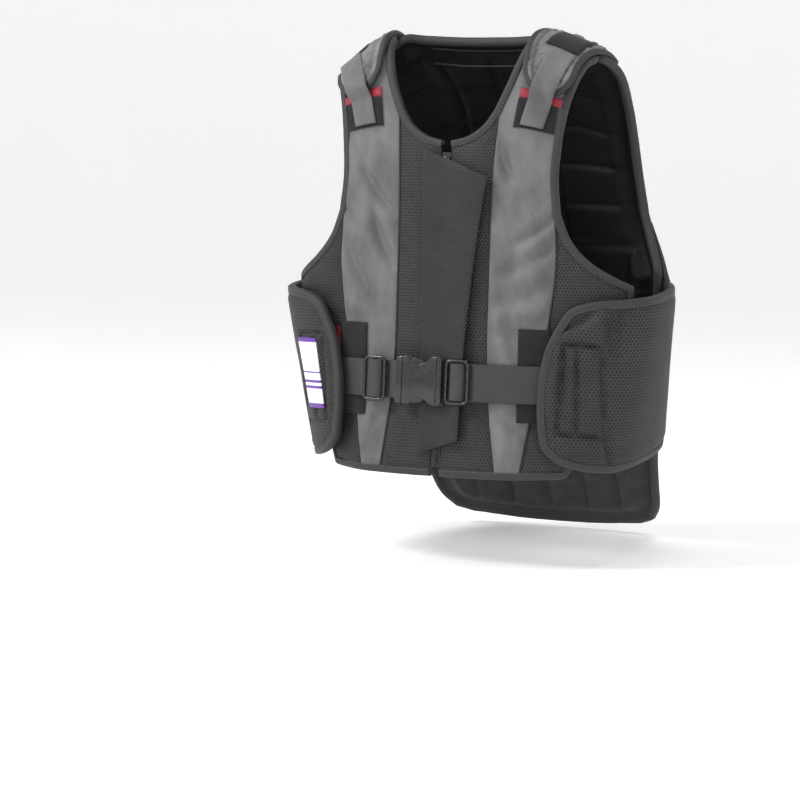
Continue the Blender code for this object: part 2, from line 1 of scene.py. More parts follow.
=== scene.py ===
"""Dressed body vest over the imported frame: padded cloth, mesh, tapes, webbing, buckle and stage."""

import math

import bmesh
import bpy
import numpy as np
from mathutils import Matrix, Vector, noise
from mathutils.kdtree import KDTree


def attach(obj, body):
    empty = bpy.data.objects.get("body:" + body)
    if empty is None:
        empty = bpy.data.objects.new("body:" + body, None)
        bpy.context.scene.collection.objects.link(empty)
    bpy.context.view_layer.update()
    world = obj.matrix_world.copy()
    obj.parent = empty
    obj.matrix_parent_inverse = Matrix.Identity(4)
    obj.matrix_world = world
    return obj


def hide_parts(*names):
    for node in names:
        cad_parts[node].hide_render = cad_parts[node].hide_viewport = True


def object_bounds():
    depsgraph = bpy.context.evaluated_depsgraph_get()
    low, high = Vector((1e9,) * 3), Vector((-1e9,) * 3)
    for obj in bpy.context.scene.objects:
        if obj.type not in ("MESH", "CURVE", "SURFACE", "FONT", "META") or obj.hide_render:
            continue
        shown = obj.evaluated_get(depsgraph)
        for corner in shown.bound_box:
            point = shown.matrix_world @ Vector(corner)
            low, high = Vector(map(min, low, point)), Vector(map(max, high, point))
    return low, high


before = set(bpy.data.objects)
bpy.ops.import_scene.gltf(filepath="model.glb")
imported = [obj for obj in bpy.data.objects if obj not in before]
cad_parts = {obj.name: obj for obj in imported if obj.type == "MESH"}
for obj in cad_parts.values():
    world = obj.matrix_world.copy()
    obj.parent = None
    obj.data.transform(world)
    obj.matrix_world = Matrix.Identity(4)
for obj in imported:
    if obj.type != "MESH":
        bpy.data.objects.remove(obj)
cad_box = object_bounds()

# Main sizes in metres; the tables below are shares of these
CHEST_WIDTH = 0.41
CHEST_DEPTH = 0.212
FRONT_LENGTH = 0.515
WEBBING_HEIGHT = 0.04
HALF_CHEST = CHEST_WIDTH / 2

# Thicknesses and gaps in metres
GAP = 0.0003
LIFT = 0.0009
BLOCK_DEPTH = 0.02
EDGE_DEPTH = 0.005
COVER = 0.002
SKIN = GAP + COVER
TAPE_WIDTH = 0.0045
PATCH = 0.0012
STRAP = 0.0022
WING = 0.011
SHOULDER_PAD = 0.008
PLACKET_THICK = 0.003
ZIP_HALF = 0.0055

# Shoulder fall: starts softly at this share of the half chest and drops this share of the way out;
# the wearer's right shoulder droops by a further share. Each fades between two shares down.
SLOPE_START = 0.39
SLOPE_SOFT = 0.06
SLOPE = 0.39
SLOPE_FADES = (0.12, 0.49)
DROOP_RIGHT = 0.5
DROOP_FADES = (0.02, 0.22)

# Form of the padding's outer face, as shares.
# Of the front length: down, height. Of the half chest: width. Of the depth: front, back, middle.
# square is how square the back half of a level cut is.
FORM = (
    # down, height, width, front, back, middle, square
    (0.0, 0.038, 1.0, 0.0, 0.0, 0.0, 2.4),
    (0.058, 0.029, 1.0, -0.108, 0.137, 0.01, 2.4),
    (0.117, 0.0, 1.0, -0.174, 0.279, 0.019, 2.4),
    (0.175, -0.047, 1.0, -0.221, 0.401, 0.033, 2.4),
    (0.252, -0.119, 1.0, -0.254, 0.515, 0.043, 2.4),
    (0.35, -0.214, 1.0, -0.278, 0.6, 0.043, 2.4),
    (0.485, -0.348, 1.005, -0.301, 0.656, 0.043, 2.4),
    (0.641, -0.501, 0.975, -0.325, 0.69, 0.06, 2.5),
    (0.816, -0.676, 0.9, -0.358, 0.755, 0.12, 2.9),
    (1.0, -0.859, 0.82, -0.405, 0.93, 0.19, 3.6),
    (1.17, -1.029, 0.8, -0.43, 1.11, 0.26, 4.2),
)
FRONT_SQUARENESS = 2.6

# Outlines: down as a share of the front length, out as a share of the half chest
FRONT_NECK = ((0.028, 0.434), (0.117, 0.392), (0.194, 0.338), (0.248, 0.282))
FRONT_NOTCH = ((0.248, 0.282), (0.282, 0.222), (0.308, 0.13), (0.319, 0.03))
FRONT_ARM = ((0.028, 0.72), (0.097, 0.688), (0.205, 0.632), (0.3, 0.603), (0.388, 0.594),
             (0.46, 0.612))
FRONT_UNDERARM = ((0.46, 0.612), (0.515, 0.67), (0.562, 0.772), (0.592, 0.875), (0.612, 0.95))
FRONT_SIDE = ((0.612, 0.95), (0.76, 0.89), (0.893, 0.77), (0.992, 0.655))
FRONT_INNER_SEAM = ((0.248, 0.282), (0.4, 0.264), (0.6, 0.26), (0.82, 0.27), (0.995, 0.328))
FRONT_OUTER_SEAM = ((0.46, 0.612), (0.56, 0.622), (0.68, 0.59), (0.83, 0.525), (0.995, 0.456))
BACK_NECK = ((0.018, 0.434), (0.034, 0.4), (0.05, 0.33))
BACK_NECK_CENTRE = ((0.05, 0.33), (0.061, 0.165), (0.063, 0.0))
BACK_ARM = ((0.018, 0.725), (0.097, 0.76), (0.194, 0.744), (0.291, 0.735), (0.388, 0.745),
            (0.47, 0.775))
BACK_UNDERARM = ((0.47, 0.775), (0.53, 0.83), (0.59, 0.9))
BACK_SIDE = ((0.59, 0.9), (0.777, 0.88), (0.893, 0.84), (0.955, 0.8))
BACK_INNER_SEAM = ((0.05, 0.33), (0.12, 0.29), (0.291, 0.258), (0.45, 0.29), (0.7, 0.38),
                   (0.9, 0.47), (1.06, 0.51), (1.157, 0.51))
BACK_OUTER_SEAM = ((0.47, 0.775), (0.58, 0.76), (0.7, 0.755), (0.82, 0.765), (0.955, 0.79))
TAIL_SIDE = ((0.955, 0.79), (1.005, 0.722), (1.065, 0.68), (1.122, 0.642), (1.146, 0.595))
TAIL_END = ((1.157, 0.51), (1.166, 0.25), (1.168, 0.0))
WING_TOP = ((0.69, 0.655), (0.657, 0.712), (0.643, 0.8), (0.638, 0.9))
WING_FRONT = ((0.69, 0.655), (0.73, 0.608), (0.79, 0.574), (0.87, 0.562), (0.93, 0.572))
WING_END = ((0.93, 0.572), (0.957, 0.63), (0.971, 0.71), (0.977, 0.79))
WING_UNDERARM = ((0.618, 0.905), (0.555, 0.845), (0.492, 0.775))
WING_REAR = ((0.492, 0.775), (0.58, 0.7605), (0.7, 0.7555), (0.82, 0.7655), (0.945, 0.79))
PLACKET = (((0.326, -0.132), (0.6, -0.112), (0.958, -0.094)),
           ((0.384, 0.256), (0.48, 0.22), (0.62, 0.18), (0.76, 0.152), (0.928, 0.14)))

# Girths from centre front, as shares of the half chest, where a wing comes down and thins
WING_RISE = (1.22, 1.58)
WING_LANDS = (1.64, 1.69)
WING_SEATS = (0.6, 0.68)
WING_HEM = (0.8, 0.86)
WING_THINS = (1.41, 1.8)

# Shoulder pieces; a negative down is behind the top of the shoulder
SHOULDER_PAD_INNER = ((-0.085, 0.455), (0.0, 0.43), (0.12, 0.418), (0.165, 0.425),
                      (0.187, 0.455))
SHOULDER_PAD_OUTER = ((-0.085, 0.725), (0.0, 0.722), (0.1, 0.675), (0.16, 0.64),
                      (0.183, 0.605))
SHOULDER_STRAP = (((0.087, 0.535), (0.175, 0.475), (0.275, 0.412)),
                  ((0.087, 0.657), (0.175, 0.597), (0.275, 0.533)))
SHOULDER_TOP_PATCH = (((0.012, 0.52), (0.083, 0.495)), ((0.012, 0.69), (0.083, 0.665)))
SHOULDER_MARK = (((0.197, 0.402), (0.217, 0.396)), ((0.197, 0.624), (0.217, 0.616)))
SHOULDER_LOOP = (((0.219, 0.394), (0.281, 0.372)), ((0.219, 0.602), (0.281, 0.588)))
STRAP_DROP = (0.188, 0.222)

# Waist loop patches, the marker by the right wing and the label on it
WAIST_LOOP = (((0.695, 0.435), (0.886, 0.437)), ((0.695, 0.602), (0.886, 0.59)))
WING_MARK = (((0.705, 0.612), (0.89, 0.6)), ((0.705, 0.662), (0.89, 0.65)))
LABEL = (((0.731, 0.702), (0.878, 0.632)), ((0.731, 0.838), (0.878, 0.748)))

# Waist fastening: down as a share of the front length, the rest shares of the webbing's height
WAIST_DOWN = 0.808
SLIDER_TALL = 1.2
SLIDER_BAR = 0.075
SLIDERS = {"right": (-2.125, -1.4375), "left": (0.3125, 1.0)}
SLIDER_HEIGHTS = (0.275, 0.365)
# Webbing's way from under the wing to the buckle: out, height
WEB_RIGHT = ((-3.6, 0.1325), (-3.05, 0.1325), (-2.6, 0.14), (-2.3, 0.18), (-2.05, 0.2),
             (-1.95, 0.325), (-1.78, 0.355), (-1.61, 0.325), (-1.51, 0.2), (-1.25, 0.2),
             (-0.98, 0.2))
WEB_LEFT = ((3.6, 0.1325), (3.05, 0.1325), (2.4, 0.14), (1.5, 0.165), (1.15, 0.2),
            (0.925, 0.2), (0.825, 0.325), (0.66, 0.355), (0.5, 0.325), (0.395, 0.2),
            (0.285, 0.205))
# Buckle outlines above its long axis: along, half height
SOCKET = ((-0.9, 0.61), (-0.825, 0.638), (-0.7, 0.625), (-0.55, 0.488), (-0.4, 0.438),
          (-0.25, 0.475), (-0.125, 0.575), (0.0, 0.638), (0.188, 0.638), (0.262, 0.588))
PLUG_PRONG = ((-0.912, 0.488), (-0.69, 0.488), (-0.64, 0.562), (-0.4, 0.58),
              (-0.24, 0.5), (-0.215, 0.42), (-0.3, 0.33), (-0.6, 0.33),
              (-0.912, 0.34))
PLUG_BASE = ((-1.1, 0.56), (-1.06, 0.625), (-0.912, 0.625))
PLUG_TONGUE = ((-0.912, 0.1), (-0.215, 0.08))
SOCKET_HEIGHTS = (0.225, 0.425)
POCKET_HEIGHTS = (0.27, 0.38)
PLUG_HEIGHTS = (0.2775, 0.3725)

# Camera at the photograph's place: metres, and its lens in millimetres on a 36 mm sensor
EYE = (1.5306, -3.1011, 0.0143)
AIM = (-0.0794, -0.0131, -0.3743)
LENS = 144.8

# Colours
GREY = (0.114, 0.114, 0.116)
MESH = (0.029, 0.029, 0.03)
# The lining's colour is set near black to paint the shade inside the vest; the paler colour below is the
# same lining painted as lit, for the tail that faces the lights
LINING = (0.002, 0.002, 0.0028)
LIT_TAIL_LINING = (0.04, 0.04, 0.043)
TAPE = (0.019, 0.019, 0.02)
WEB = (0.021, 0.021, 0.022)
LOOP = (0.0035, 0.0035, 0.004)
RED = (0.25, 0.009, 0.024)
WHITE = (0.8, 0.8, 0.82)
PLASTIC = (0.01, 0.01, 0.011)

# Scene detail in metres: the cloth's divisions per division of the plain solids, and its shapes
FINE = 9
CUT_STEP = 0.0015
CUT_SHARES = 601
PUFF_GREY = 0.0045
PUFF_MESH = 0.0026
PUFF_REACH = 0.016
PIPING = 0.0011
MESH_PITCH = 0.0037
THREAD = 0.0004
STITCH_PITCH = 0.0042
STITCH_LONG = 0.0029
BLOCK_TALL = 0.046
TAIL_CHANNEL = 0.046
PAD_ROUND = 0.007
PAD_GROOVE = 0.0038
NECK_BAND = 0.024
COLLAR_SEAMS = (0.011, 0.022)
FOLD_DEPTH = 1.5
GROOVE_WIDE = 0.0027
GROOVE_DEEP = 0.0042
# Shares of the front length over which the lining turns paler, painted light on the tail
TAIL_LIGHT_FADES = (0.86, 0.98)

# Folds pressed into the cloth: places as shares of the half chest and front length, the rest in metres
FOLDS = {
    "front": (
        # out, down, length, width, turn from level in degrees, depth
        (-0.4, 0.42, 0.034, 0.005, 50, 0.0048),
        (-0.35, 0.53, 0.038, 0.0055, 62, 0.005),
        (-0.5, 0.59, 0.05, 0.006, 58, 0.0045),
        (-0.56, 0.47, 0.034, 0.0055, 40, 0.0026),
        (-0.43, 0.66, 0.032, 0.006, 35, 0.0028),
        (0.33, 0.35, 0.026, 0.006, 72, 0.0048),
        (0.3, 0.45, 0.03, 0.007, 82, 0.0024),
        (0.56, 0.48, 0.034, 0.006, -40, 0.0048),
        (0.47, 0.56, 0.04, 0.007, -30, 0.0028),
        (0.4, 0.64, 0.045, 0.008, -14, 0.0026),
        (0.4, 0.715, 0.03, 0.006, 80, 0.0045),
        (0.52, 0.69, 0.035, 0.0055, -25, 0.003),
        (0.44, 0.9, 0.024, 0.0055, 24, 0.003),
        (-0.4, 0.905, 0.024, 0.0055, -34, 0.0032),
        (-0.38, 0.96, 0.018, 0.005, 10, 0.0022),
    ),
    "back": (
        (0.56, 0.6, 0.06, 0.0065, 12, 0.0045),
        (-0.56, 0.6, 0.06, 0.0065, -12, 0.0045),
        (0.6, 0.42, 0.05, 0.0065, -15, 0.0026),
        (-0.6, 0.42, 0.05, 0.0065, 15, 0.0026),
        (0.62, 0.86, 0.05, 0.0065, 8, 0.0028),
        (-0.62, 0.86, 0.05, 0.0065, -8, 0.0028),
    ),
}
# Where the front's cloth lies flat, as shares: down from and to, out from and to, puff left
FLATTENED = (
    (-0.1, 0.29, 0.3, 0.8, 0.3),
    (0.69, 0.892, 0.425, 0.64, 0.25),
    (0.755, 0.862, 0.0, 1.1, 0.55),
)
WING_DENTS = (
    # out, down, length, width, turn from level in degrees, depth
    (0.86, 0.688, 0.024, 0.007, 96, 0.0065),
    (0.74, 0.674, 0.022, 0.0055, -28, 0.004),
    (0.66, 0.8, 0.05, 0.005, 94, 0.0018),
)
WING_BOX = (((0.72, 0.668), (0.902, 0.622)), ((0.72, 0.818), (0.908, 0.782)))
WING_LINES = (((0.732, 0.723), (0.9, 0.695)), ((0.908, 0.782), (0.962, 0.782)))


def smooth(keys, values, at, level=False):
    """Smooth curve through points, read at an array; level makes it start level."""
    keys, values = np.asarray(keys, float), np.asarray(values, float)
    slopes = np.gradient(values, keys)
    if level:
        slopes[0] = 0.0
    at = np.clip(at, keys[0], keys[-1])
    i = np.clip(np.searchsorted(keys, at) - 1, 0, len(keys) - 2)
    step = keys[i + 1] - keys[i]
    t = (at - keys[i]) / step
    ease = t * t * (3 - 2 * t)
    lead = t * (1 - t) ** 2 * slopes[i] - t * t * (1 - t) * slopes[i + 1]
    return values[i] * (1 - ease) + values[i + 1] * ease + step * lead


def ramp(value, start, end):
    """Go softly from 0 at start to 1 at end."""
    t = np.clip((value - start) / (end - start), 0.0, 1.0)
    return t * t * (3 - 2 * t)


def dome(share):
    """Rounded rise from 0 at 0 to 1 at 1."""
    return (1 - (1 - np.clip(share, 0.0, 1.0)) ** 2) ** 0.75


def unit(ways):
    """Vectors brought to length 1."""
    return ways / np.maximum(np.linalg.norm(ways, axis=-1, keepdims=True), 1e-12)


def running(gaps):
    """Running total of gaps, from zero."""
    return np.concatenate(([0.0], np.cumsum(gaps)))


def around(count):
    """Evenly spaced angles of a full turn."""
    return np.linspace(0, 2 * math.pi, count, endpoint=False)


def tangents_of(path, closed):
    """Directions along a path from each point's neighbours."""
    if closed:
        return np.roll(path, -1, axis=0) - np.roll(path, 1, axis=0)
    return np.gradient(path, axis=0)


def hand_of(loop):
    """1 for a loop that turns one way, -1 for the other."""
    ahead = np.roll(loop, -1, axis=0)
    return math.copysign(1.0, np.sum(loop[:, 0] * ahead[:, 1] - ahead[:, 0] * loop[:, 1]))


def level_cuts():
    """Level cuts of the form: distances out and depths at even shares of the girth, girths, heights."""
    rows = np.array(FORM)
    downs = np.arange(0, rows[-1, 0] * FRONT_LENGTH, CUT_STEP) / FRONT_LENGTH
    height, width, front, back, middle, square = (smooth(rows[:, 0], rows[:, c], downs, c == 1)
                                                  for c in range(1, 7))
    turn = np.linspace(0, math.pi, CUT_SHARES)
    ahead = turn < math.pi / 2
    outs, depths, girths = [], [], []
    for w, f, b, m, q in zip(width, front, back, middle, square):
        power = 2 / np.where(ahead, FRONT_SQUARENESS, q)
        out = w * HALF_CHEST * np.abs(np.sin(turn)) ** power
        depth = CHEST_DEPTH * (m + np.where(ahead, f - m, b - m) * np.abs(np.cos(turn)) ** power)
        girth = running(np.hypot(np.diff(out), np.diff(depth)))
        even = np.linspace(0, girth[-1], CUT_SHARES)
        outs.append(np.interp(even, girth, out))
        depths.append(np.interp(even, girth, depth))
        girths.append(girth[-1])
    return np.array(outs), np.array(depths), np.array(girths), height * FRONT_LENGTH


OUTS, DEPTHS, GIRTHS, HEIGHTS = level_cuts()


def between(values, row):
    """Value or row of values of a table at fractional rows."""
    i = np.clip(np.floor(row).astype(int), 0, len(values) - 2)
    t = np.clip(row - i, 0, 1)
    t = t[..., None] if values.ndim > 1 else t
    return values[i] * (1 - t) + values[i + 1] * t


def girth_at(side, out, down):
    """Distance round the cloth from the centre of the front or back to a distance out."""
    shares = np.linspace(0, 1, CUT_SHARES)
    found = []
    for o, d in zip(out, down):
        row = np.array(abs(d) / CUT_STEP)
        outs = between(OUTS, row)
        widest = int(np.argmax(outs))
        if (side == "front") != (d < 0):
            share = np.interp(o, outs[:widest + 1], shares[:widest + 1])
        else:
            share = 1 - np.interp(-o, -outs[widest:], shares[widest:])
        found.append(share * between(GIRTHS, row))
    return np.array(found)


def across_at(side, out, down):
    """Signed distance round the cloth at a signed distance out."""
    return np.copysign(girth_at(side, np.abs(out), down), out)


def on_form(side, across, down):
    """Points of the padding's outer face; a negative down is over the shoulder on the other side."""
    across, down = np.broadcast_arrays(np.asarray(across, float), np.asarray(down, float))
    front = (down < 0) != (side == "front")
    row = np.abs(down) / CUT_STEP
    i = np.clip(np.floor(row).astype(int), 0, len(GIRTHS) - 2)
    t = np.clip(row - i, 0, 1)
    share = np.clip(np.abs(across) / between(GIRTHS, row), 0, 1)
    column = np.where(front, share, 1 - share) * (CUT_SHARES - 1)
    j = np.clip(np.floor(column).astype(int), 0, CUT_SHARES - 2)
    s = column - j
    out, depth = ((v[i, j] * (1 - s) + v[i, j + 1] * s) * (1 - t)
                  + (v[i + 1, j] * (1 - s) + v[i + 1, j + 1] * s) * t for v in (OUTS, DEPTHS))
    past = np.maximum(0.0, out - SLOPE_START * HALF_CHEST)
    past = past * past / (past + SLOPE_SOFT * HALF_CHEST)
    share = np.abs(down) / FRONT_LENGTH
    droop = np.where(across < 0, DROOP_RIGHT, 0.0) * (1 - ramp(share, *DROOP_FADES))
    fall = past * (SLOPE * (1 - ramp(share, *SLOPE_FADES)) + droop)
    return np.stack((np.copysign(out, across), depth, between(HEIGHTS, row) - fall), -1)


def normal(side, across, down):
    """Outward directions of the form."""
    step = 0.003
    along = on_form(side, across + step, down) - on_form(side, across - step, down)
    up = on_form(side, across, down - step) - on_form(side, across, down + step)
    way = unit(np.cross(along, up))
    return -way if side == "back" else way


def spot(side, across, down, out=0.0):
    """Points at heights above the padding's outer face."""
    across, down = np.asarray(across, float), np.asarray(down, float)
    lift = np.asarray(out, float)
    return on_form(side, across, down) + lift[..., None] * normal(side, across, down)


def line(table, side, count, sign=1):
    """Evenly spaced points (across, down) along an outline table."""
    shares = np.array(table)
    gaps = np.hypot(np.diff(shares[:, 0] * FRONT_LENGTH), np.diff(shares[:, 1] * HALF_CHEST))
    along = running(gaps)
    at = np.linspace(0, along[-1], count + 1)
    down = smooth(along, shares[:, 0], at) * FRONT_LENGTH
    out = smooth(along, shares[:, 1], at) * HALF_CHEST
    across = sign * across_at(side, out, down)
    return np.stack((across, down), -1)


def join(*lines):
    """Put lines end to end without repeating the shared points."""
    return np.concatenate([lines[0]] + [more[1:] for more in lines[1:]])


def straight(start, end, count):
    """Evenly spaced points between two points."""
    share = np.linspace(0, 1, count + 1)[:, None]
    return np.asarray(start) * (1 - share) + np.asarray(end) * share


def fill(top, bottom, left, right):
    """Grid of points inside four edge lines, as rows from top to bottom."""
    across = np.linspace(0, 1, len(top))[None, :, None]
    down = np.linspace(0, 1, len(left))[:, None, None]
    ruled = (1 - down) * top[None] + down * bottom[None]
    ruled = ruled + (1 - across) * left[:, None] + across * right[:, None]
    corners = (1 - down) * ((1 - across) * top[0] + across * top[-1])
    corners = corners + down * ((1 - across) * bottom[0] + across * bottom[-1])
    return ruled - corners


def weld(grids, layer=None):
    """Join grids at their shared points: points, quads and a layer's lowest value at each point."""
    flat = np.concatenate([grid.reshape(-1, 2) for grid in grids])
    points, names = np.unique(np.round(flat, 6) + 0.0, axis=0, return_inverse=True)
    names = names.ravel()
    quads, at = [], 0
    for grid in grids:
        n = np.arange(at, at + grid.shape[0] * grid.shape[1]).reshape(grid.shape[:2])
        cells = np.stack((n[:-1, :-1], n[1:, :-1], n[1:, 1:], n[:-1, 1:]), -1)
        quads.append(cells.reshape(-1, 4))
        at += n.size
    low = np.full(len(points), np.inf)
    if layer is not None:
        np.minimum.at(low, names, np.concatenate([values.ravel() for values in layer]))
    return points, names[np.concatenate(quads)], low


def rim_of(quads):
    """Directed edges that only one face uses."""
    edges = np.concatenate([quads[:, (k, (k + 1) % 4)] for k in range(4)])
    _, first, count = np.unique(np.sort(edges, axis=1), axis=0, return_index=True,
                                return_counts=True)
    return edges[first[count == 1]]


def rim_loop(grids, start=None, end=None):
    """Points round the grids' border in order, from the one nearest start to that nearest end."""
    points, quads, _ = weld(grids)
    following = {int(a): int(b) for a, b in rim_of(quads)}
    first = next(iter(following))
    loop = [first]
    while following[loop[-1]] != first:
        loop.append(following[loop[-1]])
    loop = points[loop]
    if start is None:
        return loop
    nearest = [int(np.argmin(np.hypot(*(loop - p).T))) for p in (start, end)]
    loop = np.roll(loop, -nearest[0], axis=0)
    return loop[:(nearest[1] - nearest[0]) % len(loop) + 1]


def reach_to(points, marks):
    """Distance from each point to the nearest mark, both as (across, down)."""
    tree = KDTree(len(marks))
    for k, (a, d) in enumerate(marks):
        tree.insert((a, d, 0.0), k)
    tree.balance()
    return np.array([tree.find((a, d, 0.0))[2] for a, d in points])


def uneven(points, size, seed):
    """Smooth irregular values from about -1 to 1, the same at every run."""
    return np.array([noise.noise(Vector((a / size, d / size, seed))) for a, d in points])


def pressed(side, points, folds):
    """Height that folds take from or add to the cloth."""
    total = np.zeros(len(points))
    for out, down, length, width, turn, depth in folds:
        middle = line(((down, out), (down + 0.001, out)), side, 1)[0]
        angle = math.radians(turn)
        east, south = (points - middle).T
        along = east * math.cos(angle) + south * math.sin(angle)
        aside = south * math.cos(angle) - east * math.sin(angle) + 0.12 * along ** 2 / length
        fade = np.exp(-(along / length) ** 4)
        valley = np.exp(-(aside / width) ** 2)
        ridge = np.exp(-((aside - 2.0 * width) / (1.3 * width)) ** 2)
        total += depth * fade * (0.55 * ridge - valley)
    return total


def add(name, data):
    """New object in the scene."""
    made = bpy.data.objects.new(name, data)
    bpy.context.scene.collection.objects.link(made)
    return made


def link(name, points, faces, look, corners=None, nodes=(), crease=50):
    """Closed piece from points and faces, riding on the frame and standing for its plain solids."""
    title = f"{name}_dressed" if nodes else name
    mesh = bpy.data.meshes.new(title)
    mesh.from_pydata([tuple(p) for p in points], [], [tuple(int(i) for i in f) for f in faces])
    if corners is not None:
        layer = mesh.uv_layers.new(name="UVMap")
        layer.data.foreach_set("uv", np.asarray(corners, np.float32).ravel())
    form = bmesh.new()
    form.from_mesh(mesh)
    bmesh.ops.recalc_face_normals(form, faces=form.faces)
    for face in form.faces:
        face.smooth = True
    for edge in form.edges:
        edge.smooth = edge.calc_face_angle(0) < math.radians(crease)
    form.to_mesh(mesh)
    form.free()
    mesh.materials.append(look)
    piece = add(title, mesh)
    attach(piece, "root")
    if nodes:
        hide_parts(*nodes)
    return piece


def body(name, side, grids, outer, inner, look, layer=None):
    """Closed cloth body between two heights, which take points, rim distance and the layer."""
    points, quads, low = weld(grids, layer)
    rim = rim_of(quads)
    reach = reach_to(points, points[np.unique(rim)])
    count = len(points)
    where = np.concatenate((spot(side, *points.T, outer(points, reach, low)),
                            spot(side, *points.T, inner(points, reach, low))))
    walls = np.stack((rim[:, 1], rim[:, 0], rim[:, 0] + count, rim[:, 1] + count), -1)
    faces = np.concatenate((quads, quads[:, ::-1] + count, walls))
    flat = np.concatenate((points, points))
    return link(name, where, faces, look, flat[faces.ravel()], (name,))


def sweep(name, rings, closed, look, nodes=(), crease=50):
    """Closed piece through rings of points, with its pattern laid along it in metres."""
    rings = np.asarray(rings)
    count, size = rings.shape[:2]
    middles = rings.mean(axis=1)
    steps = np.linalg.norm(np.diff(middles, axis=0, append=middles[:1]), axis=-1)
    along = running(steps)
    ring_steps = np.linalg.norm(rings[0] - np.roll(rings[0], -1, axis=0), axis=-1)
    round_by = running(ring_steps)
    faces, corners = [], []
    for k in range(count if closed else count - 1):
        for i in range(size):
            a, b = k * size, (k + 1) % count * size
            j = (i + 1) % size
            faces.append((a + i, a + j, b + j, b + i))
            corners += [(along[k], round_by[i]), (along[k], round_by[i + 1]),
                        (along[k + 1], round_by[i + 1]), (along[k + 1], round_by[i])]
    if not closed:
        for start in (0, (count - 1) * size):
            faces.append(tuple(range(start, start + size)))
            corners += [(along[-1] * bool(start), v) for v in round_by[:-1]]
    link(name, rings.reshape(-1, 3), faces, look, corners, nodes, crease)


def tube(name, path, radius, look, ups, flat=1.0, closed=False, sides=10, nodes=()):
    """Round or flattened tube along a path; ups are the directions of its thickness."""
    tangents = tangents_of(path, closed)
    aside = unit(np.cross(tangents, ups))
    ups = unit(np.cross(aside, tangents))
    turn = around(sides)
    rings = (path[:, None] + radius * np.cos(turn)[None, :, None] * aside[:, None]
             + radius * flat * np.sin(turn)[None, :, None] * ups[:, None])
    sweep(name, rings, closed, look, nodes)


def stitches(name, side, course, height, look):
    """Row of thread stitches along a course of (across, down) at a height."""
    path = spot(side, *course.T, height)
    along = running(np.linalg.norm(np.diff(path, axis=0), axis=-1))
    count = max(2, int(along[-1] / STITCH_PITCH))
    at = (np.arange(count) + 0.5) * along[-1] / count
    spots, ends = (np.stack([np.interp(at + shift, along, path[:, c]) for c in range(3)], -1)
                   for shift in (0.0, 0.4 * STITCH_PITCH))
    across, down = (np.interp(at, along, course[:, c]) for c in range(2))
    ups = normal(side, across, down)
    ways = unit(ends - spots + 1e-9)
    asides = np.cross(ways, ups)
    corners = ((-0.5, 0, 0), (-0.25, 1, 0), (-0.25, 0, 1), (-0.25, -1, 0), (-0.25, 0, -1),
               (0.25, 1, 0), (0.25, 0, 1), (0.25, -1, 0), (0.25, 0, -1), (0.5, 0, 0))
    cells = [(0, 1 + k, 1 + (k + 1) % 4) for k in range(4)]
    cells += [(1 + k, 5 + k, 5 + (k + 1) % 4, 1 + (k + 1) % 4) for k in range(4)]
    cells += [(9, 5 + (k + 1) % 4, 5 + k) for k in range(4)]
    points, faces = [], []
    for p, way, aside, up in zip(spots, ways, asides, ups):
        start = len(points)
        points += [p + way * u * STITCH_LONG + aside * v * THREAD + up * w * THREAD
                   for u, v, w in corners]
        faces += [tuple(start + i for i in cell) for cell in cells]
    link(name, points, faces, look, crease=80)


def tape(name, side, loop, closed, low, high, look, sewn=None, inboard=0.004, outboard=None):
    """Binding folded round a panel's border; low and high are heights above the form."""
    outboard = GAP + TAPE_WIDTH if outboard is None else outboard
    points, ups = spot(side, *loop.T), normal(side, *loop.T)
    hand = hand_of(loop)
    outs = hand * (-1 if side == "front" else 1) * unit(np.cross(tangents_of(points, closed), ups))
    for _ in range(2):
        ahead, behind = np.roll(outs, -1, axis=0), np.roll(outs, 1, axis=0)
        if not closed:
            ahead[-1], behind[0] = outs[-1], outs[0]
        outs = unit(ahead + 2 * outs + behind)
    turn = around(16)
    round_off = lambda v: np.sign(v) * np.abs(v) ** 0.62
    wide, rise = round_off(np.cos(turn)), round_off(np.sin(turn))
    middle, half = (outboard - inboard) / 2, (outboard + inboard) / 2
    low, high = (np.broadcast_to(h(loop), len(loop)) for h in (low, high))
    ripple = 1 + 0.035 * uneven(loop, 0.012, 7.3)
    across = middle + half * wide[None] * ripple[:, None]
    lift = ((low + high) / 2)[:, None] + ((high - low) / 2 * ripple)[:, None] * rise[None]
    rings = points[:, None] + outs[:, None] * across[..., None] + ups[:, None] * lift[..., None]
    if sewn:
        ways = np.gradient(loop, axis=0)
        inward = hand * unit(np.stack((-ways[:, 1], ways[:, 0]), -1))
        course = loop + 0.55 * inboard * inward
        stitches(f"{name}_stitches", side, course, high - 0.0001, sewn)
    sweep(name, rings, closed, look, (name,), 60)


def seam(name, side, course, look, height=1.2 * PIPING, radius=PIPING):
    """Piping along a seam between two panels."""
    tube(name, spot(side, *course.T, np.full(len(course), height)), radius, look,
         normal(side, *course.T))


def front_grids(sign):
    """Centre, grey and side grids of one front panel."""
    notch = line(FRONT_NOTCH, "front", 4 * FINE, sign)[::-1].copy()
    inner = line(FRONT_INNER_SEAM, "front", 12 * FINE, sign)
    middle = sign * (ZIP_HALF + 2 * GAP)
    notch[0] = (middle, notch[0][1])
    hem = inner[-1][1]
    centre = fill(notch, straight((middle, hem), inner[-1], 4 * FINE),
                  straight(notch[0], (middle, hem), 12 * FINE), inner)
    neck = line(FRONT_NECK, "front", 5 * FINE, sign)
    arm = line(FRONT_ARM, "front", 9 * FINE, sign)
    outer = line(FRONT_OUTER_SEAM, "front", 8 * FINE, sign)
    grey = fill(straight(neck[0], arm[0], 3 * FINE), straight(inner[-1], outer[-1], 3 * FINE),
                join(neck, inner), join(arm, outer))
    under = line(FRONT_UNDERARM, "front", 4 * FINE, sign)
    edge = line(FRONT_SIDE, "front", 8 * FINE, sign)
    flank = fill(under, straight(outer[-1], edge[-1], 4 * FINE), outer, edge)
    return (centre, grey, flank), inner, outer


